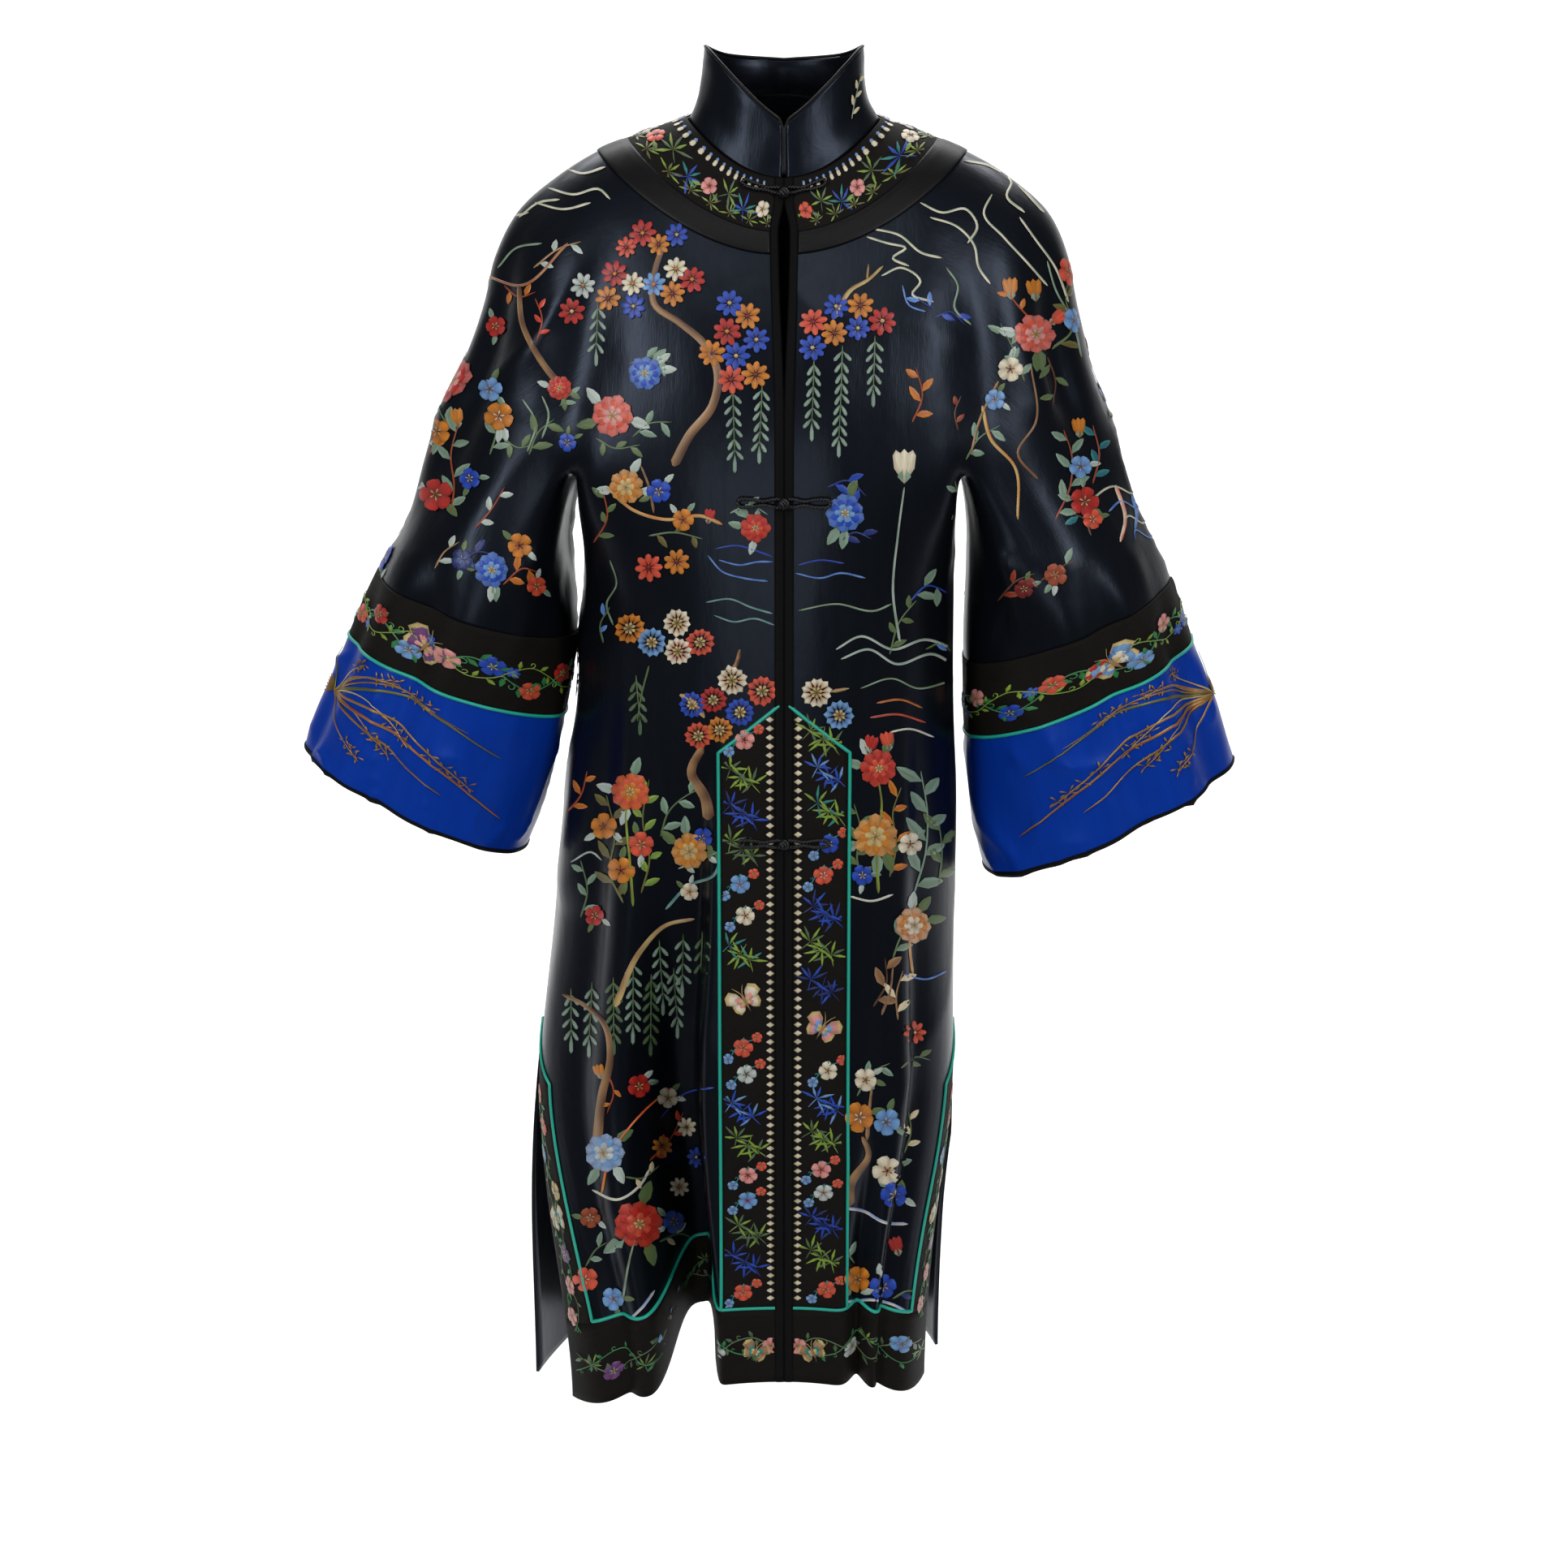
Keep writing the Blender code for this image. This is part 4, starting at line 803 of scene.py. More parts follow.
for side in (RIGHT, LEFT):
    worn = SIDE_NAMES[side]
    surface = lambda u, v: panel_point(side, "front", u, v)
    out_here = ((side * 0.03, -0.14, -0.7), (0, -1, 0))
    share = np.linspace(0, 1, 14)[None, :]

    rows = rows_between(0.0, 2.0)[:, None]
    across = np.linspace(0, 1, 5)[None, :] * u_of(side, BINDING, rows)
    over = np.abs(2 * across / u_of(side, BINDING, rows) - 1)
    crowned = creased(surface, TRIM_HEIGHT + EDGE_CROWN * np.sqrt(np.maximum(1 - over**2, 0)), side)
    piece = laid(f"edge_binding_{worn}", crowned(across, np.broadcast_to(rows, across.shape)), BINDING_SILK,
                 f"front_binding_{worn}", out_here)

    rows = rows_between(BAND_SHOULDER_V, BORDER_V)[:, None]
    across = mix(u_of(side, BINDING, rows), u_of(side, BAND_HALF, rows), share)
    gable = across / u_of(side, BAND_HALF, rows)
    top = mix(BAND_APEX_V, BAND_SHOULDER_V, np.clip(gable, 0, 1))
    down = mix(top, BORDER_V, (rows - BAND_SHOULDER_V) / (BORDER_V - BAND_SHOULDER_V))
    across = mix(u_of(side, BINDING, down), u_of(side, BAND_HALF, down), share)
    piece = laid(f"pointed_band_{worn}", creased(surface, TRIM_HEIGHT, side)(across, down), RIBBED_GROUND,
                 f"front_band_{worn}", out_here)

    for face, facing, out_y in (("front", -1, -0.14), ("back", 1, 0.13)):
        surface = lambda u, v: panel_point(side, face, u, v)
        on_cloth = creased(surface, TRIM_HEIGHT, side)
        border = bmesh.new()
        rows = rows_between(BORDER_V, 2.0)[:, None]
        begin = u_of(side, BINDING, rows) if face == "front" else np.full_like(rows, BACK_MIDDLE_U)
        count = 121 if (side, face) == (RIGHT, "front") else 71
        share = np.linspace(0, 1, count)[None, :]
        add_grid(border, on_cloth(mix(begin, 1.0, share), np.broadcast_to(rows, (len(rows), count))))
        rows = rows_between(SLIT_SHOULDER, BORDER_V)[:, None]
        share = np.linspace(0, 1, 10)[None, :]
        top = mix(SLIT_SHOULDER, SLIT_TOP + PIPING_V, share)
        down = mix(top, BORDER_V, (rows - SLIT_SHOULDER) / (BORDER_V - SLIT_SHOULDER))
        across = mix(slit_edge_u(side, face, down), 1.0, share)
        add_grid(border, on_cloth(across, down))
        out_face = ((side * 0.05, out_y, -1.10), (0, facing, 0))
        bmesh.ops.remove_doubles(border, verts=border.verts, dist=MERGE)
        turned_out(border, *out_face)
        piece = made_piece(f"hem_border_{face}_{worn}", border, RIBBED_GROUND, (f"border_{face}_{worn}",),
                           TRIM_WALL)
        cut, area = BORDER_CUTS[side, face]

        lines = bmesh.new()
        half_v = PIPING_V / 2
        slit_v = np.linspace(SLIT_SHOULDER - half_v, BORDER_V - half_v, 60)
        slit_u = slit_edge_u(side, face, slit_v) + facing * SLIT_PIPING_U / 2
        down_slit = np.stack([slit_u, slit_v], axis=1)
        over_slit = along_path((1.0, SLIT_TOP + half_v), down_slit[0], step=0.02)
        ribbon(lines, surface, side, np.concatenate([over_slit[:-1], down_slit]), 0.0032)
        start = float(u_of(side, BINDING, BORDER_V)) if face == "front" else BACK_MIDDLE_U
        hem_line = along_path((start, BORDER_V - half_v), (down_slit[-1, 0], BORDER_V - half_v), step=0.008)
        ribbon(lines, surface, side, hem_line, 0.0036)
        if face == "front":
            band_v = np.linspace(BAND_SHOULDER_V - half_v, BORDER_V - half_v, 110)
            band_u = u_of(side, BAND_HALF + PIPING / 2, band_v)
            down_band = np.stack([band_u, band_v], axis=1)
            apex_u = float(u_of(side, BINDING * 0.5, BAND_APEX_V))
            over_band = along_path((apex_u, BAND_APEX_V - half_v), down_band[0])
            ribbon(lines, surface, side, np.concatenate([over_band[:-1], down_band]), 0.0034)
        turned_out(lines, *out_face)
        made_piece(f"teal_piping_{face}_{worn}", lines, PIPING_SILK, (f"piping_{face}_{worn}",),
                   PIPING_WALL)


# The sleeve bands and cuffs.
# Below each sleeve comes a band of ribbed silk, a teal piping, and a wide cuff of royal blue satin with a
# narrow dark binding at its end. They are seamed on, one below the other.

BAND_TUCK, CUFF_BINDING_V = 0.008, 0.012
CUFF_EDGE_HEIGHT, CUFF_EDGE_CROWN, CUFF_PIPING_LIFT = 0.0012, 0.0006, 0.0008
SLEEVE_BAND_CUT, CUFF_CUT, CUFF_EDGE_CUT = (0.50, 0.085), (0.50, 0.16), (0.36, 0.010)
CUFF_SATIN = satin("cuff_satin", "042a86", "063aa6", 0.36, 0.8, Specular_IOR_Level=0.32,
                   Specular_Tint=dye("9cc0ff"))
CUFF_WAVES = [Waves(30.0, 26.0, 16.0, 0.0016, 2.6, False), Waves(24.0, 20.0, 14.0, 0.0028, 31.0, True)]


def cuff_surface(side):
    """The sleeve's surface with the cuff's own crumples, which fade out at its seam."""
    def placed(q, v):
        point = sleeve_point(side, q, v)
        crumples = waves_at(CUFF_WAVES, point) * ease((v - BAND_END_V) / 0.08)
        return point + side * normal(lambda a, b: sleeve_point(side, a, b), q, v) * crumples[..., None]
    return placed


for side in (RIGHT, LEFT):
    worn = SIDE_NAMES[side]
    surface = cuff_surface(side)
    out_here = ((side * 0.30, -0.10, -0.50), (0, -1, 0))
    around = np.linspace(-UNDERARM_Q, 1 + UNDERARM_Q, 121)
    for name, node, material, slot, ends, lines, rise, wall, cut in (
        ("arm_band", "sleeve_band", RIBBED_GROUND, "embroidered", (BAND_TOP_V - BAND_TUCK, BAND_END_V), 22,
         0.0011, 0.0016, SLEEVE_BAND_CUT),
        ("deep_cuff", "cuff", CUFF_SATIN, "cuff", (BAND_END_V, 2.0), 44, 0.0008, 0.0016, CUFF_CUT),
        ("cuff_edge", "cuff_binding", BINDING_SILK, "binding", (2.0 - CUFF_BINDING_V, 2.0), 5,
         None, 0.0024, CUFF_EDGE_CUT),
    ):
        rows = np.linspace(*ends, lines)
        down, across = np.meshgrid(rows, around, indexing="ij")
        if rise is None:
            over = 2 * (down - ends[0]) / (ends[1] - ends[0]) - 1
            rise = CUFF_EDGE_HEIGHT + CUFF_EDGE_CROWN * np.sqrt(np.maximum(1 - over**2, 0))
        piece = laid(f"{name}_{worn}", creased(surface, rise, side)(across, down), material, f"{node}_{worn}",
                     out_here, wall=wall, closed=True)
    lines = bmesh.new()
    ring = np.stack([around, np.full_like(around, BAND_END_V)], axis=1)
    ribbon(lines, surface, side, ring, 0.0034, CUFF_PIPING_LIFT)
    turned_out(lines, *out_here)
    made_piece(f"teal_piping_cuff_{worn}", lines, PIPING_SILK, (f"sleeve_piping_{worn}",),
               PIPING_WALL)


# The frogs.
# Three pairs of loops of black cord, each two strands twisted together and sewn down, with a knot of the same
# cord between them that stays fastened.

CORD_RADIUS, BALL_RADIUS = 0.0014, 0.0048
Frog = namedtuple("Frog", "name v reach half_height")
FROGS = [Frog("neck", 0.050, 0.034, 0.0026), Frog("chest", 1.03, 0.038, 0.0034),
         Frog("band", 1.38, 0.038, 0.0030)]
LAY, STRAND, CORD_STEP, CORD_LIFT = 0.0052, 0.0010, 0.0009, 0.0008
FROG_CORD = satin("frog_cord", "060608", "111116", 0.38, 0.2, Specular_IOR_Level=0.42)


def evened(path, step):
    """The path again, with its points a step apart."""
    run = np.concatenate([[0], np.cumsum(np.linalg.norm(np.diff(path, axis=0), axis=1))])
    at = np.linspace(0, run[-1], max(3, int(run[-1] / step)))
    return np.stack([np.interp(at, run, path[:, i]) for i in range(3)], axis=1)


for frog in FROGS:
    metres_per_v = UNDERARM_Z - HEM_Z if frog.v > 1 else SHOULDER[0].front_z - UNDERARM_Z
    rise = frog.half_height
    bend = np.radians(np.linspace(90, -90, 13))
    straight = np.linspace(BALL_RADIUS * 0.6, frog.reach - rise, 10)
    waist = 1 - 0.55 * np.exp(-(((straight - frog.reach * 0.45) / 0.006) ** 2))
    loop_x = np.concatenate([straight, frog.reach - rise + rise * np.cos(bend), straight[::-1]])
    loop_z = np.concatenate([-rise * waist, -rise * np.sin(bend), (rise * waist)[::-1]])
    for side in (RIGHT, LEFT):
        surface = lambda u, v: panel_point(side, "front", u, v)
        u, v = u_of(side, loop_x, frog.v), frog.v + loop_z / metres_per_v
        out = side * normal(surface, u, v)
        base = surface(u, v)
        high = relief(base) + TRIM_HEIGHT + CORD_LIFT + CORD_RADIUS
        path = evened(base + out * high[:, None], CORD_STEP)
        ahead = unit(np.gradient(path, axis=0))
        beside = unit(np.cross(ahead, (0, -1, 0)))
        over = np.cross(beside, ahead)
        turn = np.arange(len(path)) * CORD_STEP / LAY * np.pi * 2
        cords = bmesh.new()
        for start in (0, np.pi):
            off = np.cos(turn + start)[:, None] * beside + np.sin(turn + start)[:, None] * over
            rope(cords, path + off * STRAND * 0.85, STRAND, 7)
        made_piece(f"cord_loop_{frog.name}_{SIDE_NAMES[side]}", closed_up(cords), FROG_CORD,
                   (f"frog_{frog.name}_{SIDE_NAMES[side]}",))
    seat = panel_point(RIGHT, "front", 0.0, frog.v)
    middle = np.array([0, seat[1] - TRIM_HEIGHT - CORD_LIFT - BALL_RADIUS, seat[2]])
    turn = np.linspace(0, 2 * np.pi, 150)
    wound = unit(np.stack([np.sin(3 * turn), np.cos(2 * turn + 0.6), np.sin(5 * turn + 0.3)], axis=1))
    knot = bmesh.new()
    core = Matrix.Translation(middle)
    bmesh.ops.create_icosphere(knot, subdivisions=2, radius=BALL_RADIUS * 0.72, matrix=core)
    rope(knot, middle + wound * (BALL_RADIUS - STRAND * 1.1), STRAND * 1.15, 7)
    made_piece(f"cord_knot_{frog.name}", closed_up(knot), FROG_CORD, (f"frog_{frog.name}_knot",))


# The embroidery.
# Floss silk in satin stitch, slightly raised: flowers, leaves, boughs and ripples all over the body, small
# sprays on the ribbed silk, and gold-wrapped thread on the cuffs. All are worked flat, then laid on.

FLOSS = {
    "red": "c4261b", "coral": "e4583a", "amber": "dc8620", "cream": "f2e6cb", "blue": "1c4cc4",
    "sky": "78a8dc", "navy": "152a72", "sage": "93ae9b", "leaf": "54714e", "olive": "6d7532",
    "lime": "93b338", "teal": "2f9186", "brown": "643c26", "tan": "ae8559", "pink": "eb9f98",
    "grey": "ccd2cd", "gold": "b2873f", "plum": "75407c", "wine": "7a1713", "straw": "d8bd7c",
    "green": "2f8a4a", "rust": "a3471f", "umber": "2b1a12",
}
SHADES = {
    "red": "wine", "coral": "red", "amber": "rust", "cream": "straw", "blue": "navy", "sky": "blue",
    "navy": "navy", "sage": "leaf", "leaf": "olive", "olive": "brown", "lime": "leaf", "teal": "navy",
    "brown": "umber", "tan": "brown", "pink": "coral", "grey": "sage", "gold": "brown", "plum": "navy",
    "straw": "tan", "green": "leaf", "rust": "wine", "wine": "wine", "umber": "umber",
}
POINTED, ROUND, SLIM, DROP, TOOTH = (0.85, 0.62), (0.62, 0.30), (0.75, 0.95), (0.95, 0.42), (0.30, 0.95)
LIFT, BLOSSOM_LIFT, TENTH_MM, DRAWN_PER_M = 0.0005, 0.0007, 0.0001, 1428.0
WILLOW_LEAF = 0.0115
VERTS_AT_ONCE, STITCH_MERGE, MOST_STRETCH, STRETCH_SLACK = 1500, 2e-6, 3.2, 0.0008


def floss(name, shade=0.0):
    colour = np.array(dye(FLOSS[name]))
    return mix(colour, np.array(dye(FLOSS[SHADES[name]])), shade)


def turned(x, y, turn):
    return x * math.cos(turn) - y * math.sin(turn), x * math.sin(turn) + y * math.cos(turn)


def drawn(points, step):
    """A smooth line through the points, with its own points about a step apart."""
    points = np.asarray(points, float)
    keys = np.concatenate([[0], np.cumsum(np.linalg.norm(np.diff(points, axis=0), axis=1))])
    slopes = np.gradient(points, keys, axis=0) if len(points) > 2 else np.repeat(
        (points[1:] - points[:-1]) / keys[-1], 2, axis=0)
    return through(keys, points, slopes, np.linspace(0, keys[-1], max(3, int(keys[-1] / step) + 1)))


def readied(work):
    """The mesh again, empty, with a layer for the flat layout and one for the dye of the thread."""
    work.clear()
    work.loops.layers.uv.new("cloth")
    work.verts.layers.float_color.new("thread")
    return work


class Hoop:
    """Embroidery worked flat, in metres: x to the right, y up, and how far the stitches stand out."""

    def __init__(self, seed):
        self.done, self.now = readied(bmesh.new()), readied(bmesh.new())
        self.chance = np.random.default_rng(seed)
        self.lift = LIFT

    def stitched(self, points, colours):
        """Adds one patch of stitches, which run from its first row to its last."""
        uv, thread = self.now.loops.layers.uv["cloth"], self.now.verts.layers.float_color["thread"]
        flat = np.full(points.shape[:2] + (2,), self.chance.uniform(0, 1))
        flat[:, 1:, 0] += lengths_along(points, 1).max(axis=0)
        flat[1:, :, 1] += lengths_along(points, 0)
        for vert, at in grid_places(self.now, *points.shape[:2]).items():
            vert.co, vert[thread] = points[at], colours[at]
            for loop in vert.link_loops:
                loop[uv].uv = flat[at]
        if len(self.now.verts) > VERTS_AT_ONCE:
            self.taken_up()

    def taken_up(self):
        kept = bpy.data.meshes.new("stitches")
        self.now.to_mesh(kept)
        self.done.from_mesh(kept)
        bpy.data.meshes.remove(kept)
        readied(self.now)

    def petal(self, at, turn, length, width, tip, root=None, shape=POINTED, rise=0.0006, over=0.0, bend=0.0,
              cells=(3, 2), start=0.0):
        t = np.sin(np.linspace(0, np.pi / 2, cells[0] + 1))[:, None]
        s = np.linspace(-1, 1, cells[1] + 1)[None, :]
        p, q = shape
        peak = p / (p + q)
        half = width / 2 * (t**p * np.maximum(1 - t, 0) ** q) / (peak**p * (1 - peak) ** q)
        along_it = start + t * (length - start)
        x, y = turned(s * half + bend * length * t * t, along_it + 0 * s, turn)
        high = self.lift + over + rise * (1 - s * s) * np.maximum(4 * t * (1 - t), 0) ** 0.5
        root = tip * 0.7 if root is None else root
        blend = (ease((t - 0.05) / 0.6) + 0 * s)[..., None]
        tone = 1 + self.chance.uniform(-0.10, 0.10)
        # Darker towards the petal's two sides: painted shade along its edges, on top of the run from the
        # root's dye to the tip's.
        colours = np.clip(mix(root * 0.75, tip, blend) * tone * (1 - 0.38 * s * s)[..., None], 0, 1)
        colours[..., 3] = 1
        self.stitched(stacked(at[0] + x, at[1] + y, high), colours)

    def leaf(self, at, turn, length, width, name, bend=0.12):
        """A leaf in two halves of different shades, with a vein between them."""
        t, s = np.sin(np.linspace(0, np.pi / 2, 5))[:, None], np.linspace(-1, 1, 5)[None, :]
        half = width / 2 * (t**0.75 * np.maximum(1 - t, 0) ** 0.85) / 0.336
        x, y = turned(s * half + bend * length * t * t, t * length + 0 * s, turn)
        crown = (2 * np.abs(s) * (1 - np.abs(s)) * 2 + 0.2) * np.maximum(4 * t * (1 - t), 0) ** 0.5
        high = self.lift + 0.0006 * crown
        in_shade = (s * self.chance.choice([-1, 1]) > 0) * 1.0
        shade = mix(0.12, 0.42, in_shade) + 0.35 * (np.abs(s) < 0.1) + 0.15 * (1 - t)
        colours = mix(floss(name), floss(name, 1.0), np.clip(shade, 0, 1)[..., None])
        self.stitched(stacked(at[0] + x, at[1] + y, high), colours)

    def stem(self, points, start, end, name, rise=0.0005, over=0.0, lit=None, cells=2, step=0.0035):
        path = drawn(points, step)
        ahead = unit(np.gradient(path, axis=0))
        beside = np.stack([ahead[:, 1], -ahead[:, 0]], axis=1)
        s, t = np.linspace(-1, 1, cells + 1), np.linspace(0, 1, len(path))
        half = mix(start, end, t) / 2
        half[0] *= 0.4
        half[-1] *= 0.3
        flat = path[:, None] + beside[:, None] * (s[None, :] * half[:, None])[..., None]
        high = self.lift + over + rise * (1 - s**2)[None, :] + 0 * half[:, None]
        dark, light = floss(name, 0.45), floss(lit or name)
        tone = mix(0.5, 0.5 * (1 + s), 0.9)[None, :, None] + 0.2 * np.sin(t * 23 + len(path))[:, None, None]
        colours = np.clip(mix(dark, light, np.clip(tone, 0, 1)), 0, 1) + np.zeros((len(path), len(s), 4))
        self.stitched(np.concatenate([flat, high[..., None]], axis=-1), colours)

    def knot(self, at, radius, name, over=0.0):
        self.petal((at[0], at[1] - radius), 0.0, 2 * radius, 2 * radius, floss(name), floss(name, 0.3),
                   (0.5, 0.5), 0.0007, over)

    def ring_of(self, at, count, length, width, tip, root, shape=POINTED, over=0.0, **more):
        spin = self.chance.uniform(0, 6)
        for i in range(count):
            turn = spin + 2 * math.pi * i / count + self.chance.uniform(-0.05, 0.05)
            self.petal(at, turn, length * self.chance.uniform(0.94, 1.06), width, tip, root, shape, over=over,
                       **more)

    def star_flower(self, at, radius, name, heart):
        self.ring_of(at, 8, radius, radius * 0.50, floss(name), floss(name, 0.75), start=radius * 0.12)
        self.knot(at, radius * 0.16, heart, 0.0003)

    def daisy(self, at, radius, name, inner):
        self.ring_of(at, 12, radius, radius * 0.46, floss(name), floss(inner, 0.2), ROUND,
                     start=radius * 0.30, cells=(2, 2))
        self.ring_of(at, 7, radius * 0.42, radius * 0.22, floss("straw"), floss("brown"), ROUND, 0.0003,
                     cells=(2, 2))

    def blossom(self, at, radius, name, heart="straw"):
        self.ring_of(at, 5, radius, radius * 0.92, floss(name), floss(name, 0.7), (0.80, 0.34),
                     start=radius * 0.05, cells=(4, 3))
        self.ring_of(at, 5, radius * 0.42, radius * 0.12, floss(heart), floss(heart, 0.5), over=0.0004,
                     cells=(2, 2))

    def peony(self, at, radius, name, inner):
        for count, size, width, over, tone in (
            (9, 1.0, 0.62, 0.0, 0.30), (8, 0.76, 0.50, 0.0003, 0.0), (6, 0.52, 0.40, 0.0006, 0.0),
        ):
            outer = mix(floss(name, tone), floss(inner), 0.35 if size > 0.9 else 0.0)
            self.ring_of(at, count, radius * size, radius * width, floss(inner) if size < 0.6 else outer,
                         floss(name, 0.6), ROUND, over, cells=(3, 3))
        self.ring_of(at, 6, radius * 0.24, radius * 0.14, floss("straw"), floss("straw", 0.6), over=0.0009,
                     cells=(2, 2))

    def bud(self, at, turn, length, name):
        self.leaf(at, turn, length * 0.5, length * 0.4, "sage", 0)
        for lean in (-0.25, 0.25, 0.0):
            self.petal(at, turn + lean, length, length * 0.36, floss(name), floss(name, 0.7), over=0.0002)

    def willow(self, at, length, name="sage", sway=0.0):
        x, y = at
        path = [(x, y), (x + sway * 0.4, y - length * 0.5), (x + sway, y - length)]
        self.stem(path, 0.0011, 0.0008, "leaf")
        count = int(length / (WILLOW_LEAF * 0.75))
        for i in range(count):
            down = (i + 0.5) / count
            place = (x + sway * down**1.3, y - length * down)
            for lean in (-1, 1):
                self.petal(place, math.pi + lean * self.chance.uniform(0.45, 0.75), WILLOW_LEAF,
                           WILLOW_LEAF * 0.30, floss(name, 0.05), floss(name, 0.6), DROP)
        self.petal((x + sway, y - length * 0.97), math.pi, WILLOW_LEAF * 1.5, WILLOW_LEAF * 0.32, floss(name),
                   shape=DROP)

    def bamboo(self, at, turn, size, name, second=None):
        self.stem([at, tuple(np.add(at, turned(0, -size * 0.7, turn)))], 0.0009, 0.0007, name)
        for i, lean in enumerate((-1.9, -1.15, -0.45, 0.3, 1.0, 1.75)):
            length = size * self.chance.uniform(0.75, 1.1)
            self.petal(at, turn + lean + self.chance.uniform(-0.1, 0.1), length, size * 0.17,
                       floss(second or name) if i % 2 else floss(name), floss(name, 0.6), SLIM,
                       bend=self.chance.uniform(-0.15, 0.15), rise=0.0004)

    def butterfly(self, at, turn, size, wing="pink", edge="straw", spot="blue"):
        for flip in (-1, 1):
            for lean, length, width in ((0.95, 1.0, 0.72), (1.95, 0.72, 0.62)):
                for part, name, over in (
                    (1.0, edge, 0.0), (0.86, wing, 0.0002), (0.58, spot, 0.0004), (0.34, edge, 0.0006),
                ):
                    self.petal(at, turn + flip * lean, size * length * part, size * width * part, floss(name),
                               floss(name, 0.5), (0.9, 0.35), over=over, cells=(3, 3))
            tip = np.add(at, turned(flip * size * 0.28, size * 0.85, turn))
            middle = np.add(at, turned(flip * size * 0.06, size * 0.5, turn))
            self.stem([at, tuple(middle), tuple(tip)], 0.0006, 0.0005, edge)
        x, y = turned(0, -size * 0.55, turn)
        self.petal((at[0] + x, at[1] + y), turn, size * 0.95, size * 0.16, floss("tan"), floss("brown"), DROP,
                   over=0.0008)

    def spray(self, points, leaf_name, leaf_length, stem_name, width=0.0014, step=0.012):
        """A curved stem with leaves on both sides by turns."""
        path = drawn(points, 0.003)
        self.stem(points, width * 1.3, width * 0.7, stem_name)
        count = max(2, int(np.linalg.norm(np.diff(path, axis=0), axis=1).sum() / step))
        for i in range(count):
            k = int((i + 0.6) / count * (len(path) - 2))
            ahead = path[k + 1] - path[k]
            heading = math.atan2(-ahead[0], ahead[1])
            lean = (0.85 if i % 2 else -0.85) + self.chance.uniform(-0.15, 0.15)
            self.leaf(tuple(path[k]), heading + lean, leaf_length * self.chance.uniform(0.8, 1.15),
                      leaf_length * 0.42, leaf_name)

    def vine(self, points, leaf_name="green", width=0.0011, curl=0.006, step=0.011):
        """A scrolling stem, with a curl and a small leaf by turns on each side."""
        path = drawn(points, 0.0025)
        self.stem(points, width * 1.2, width, leaf_name, step=0.0025)
        count = max(2, int(np.linalg.norm(np.diff(path, axis=0), axis=1).sum() / step))
        for i in range(count):
            k = int((i + 0.5) / count * (len(path) - 2))
            ahead = path[k + 1] - path[k]
            heading, side = math.atan2(-ahead[0], ahead[1]), 1 if i % 2 else -1
            if i % 3:
                self.petal(tuple(path[k]), heading + side, curl * 1.1, curl * 0.5, floss(leaf_name),
                           shape=SLIM)
            else:
                a = np.linspace(0, 4.2, 8)
                beside = side * curl * 0.5 * (1 - np.cos(a)) * (1 - a / 7)
                ahead = curl * 0.55 * np.sin(a) * (1 - a / 7) + curl * 0.25 * a / 4
                self.stem(path[k] + np.stack(turned(beside, ahead, heading), axis=1), width, width * 0.7,
                          leaf_name, step=0.0015)

    def draped(self, name, laid_on, material=None):
        """Lays the work on the cloth. laid_on gives each flat point's place there, and whether it has one."""
        self.taken_up()
        work = self.done
        bmesh.ops.remove_doubles(work, verts=work.verts, dist=STITCH_MERGE)
        flat = np.array([vert.co for vert in work.verts])
        places, out, there = laid_on(flat)
        lengths = {edge: edge.calc_length() for edge in work.edges}
        for vert, place, found in zip(work.verts, places, there):
            vert.tag, vert.co = not found, place
        work.normal_update()
        if sum(vert.normal.dot(Vector(way)) for vert, way in zip(work.verts, out)) < 0:
            bmesh.ops.reverse_faces(work, faces=work.faces)
        torn = [face for face in work.faces if any(vert.tag for vert in face.verts) or any(
            edge.calc_length() > MOST_STRETCH * lengths[edge] + STRETCH_SLACK for edge in face.edges)]
        bmesh.ops.delete(work, geom=torn, context="FACES")
        return made_piece(name, work, material or FLOSS_SILK, ())


def floss_silk(name, rough, **constants):
    """Floss: fine strands side by side along each patch, which catch the light as ribs do. The thread's
    colour is halved in streaks along the strands: painted shade between the strands.
    """
    finish = Finish(name, **constants)
    flat = finish.node("UVMap", out="UV", uv_map="cloth")
    colour = finish.node("VertexColor", out="Color", layer_name="thread")
    strands = finish.noise(flat, 1500.0, 2.0, (1.0, 0.05, 1.0))
    bundles = finish.noise(flat, 420.0, 2.0, (1.0, 0.08, 1.0))
    # Painted shade between the strands: the thread's colour at half brightness, mixed in by the streaks of
    # the strands and bundles.
    shaded_floss = finish.node("Mix", {0: 1.0, 6: colour, 7: (0.50, 0.50, 0.50, 1)}, out=2, data_type="RGBA",
                         blend_type="MULTIPLY")
    finish.feed("Base Color", finish.tinted(strands * 0.6 + bundles * 0.9 - 0.2, shaded_floss, colour))
    finish.feed("Roughness", rough + strands * 0.15)
    finish.raised(strands * 0.5 + bundles * 0.8, 0.0005, 0.7)
    return finish.material


FLOSS_SILK = floss_silk("floss_silk", 0.34, Specular_IOR_Level=0.5, Sheen_Weight=0.15, Sheen_Roughness=0.35)

# The drawing of the front has 1932 units a side. It is seen from here, this far down, by a lens this long.
DRAWING, MIDDLE, FOCAL = 1932, 966, 3700
SIGHT_FROM, SIGHT_DOWN = Vector((0, -2.6, 0.10)), math.radians(14.7)
GRAZING = -0.12


def spot(x, y):
    """A place on the drawing of the front, as a point of the flat work in metres."""
    return (x - MIDDLE) / DRAWN_PER_M, -y / DRAWN_PER_M


def spots(*places):
    return [spot(x, y) for x, y in places]


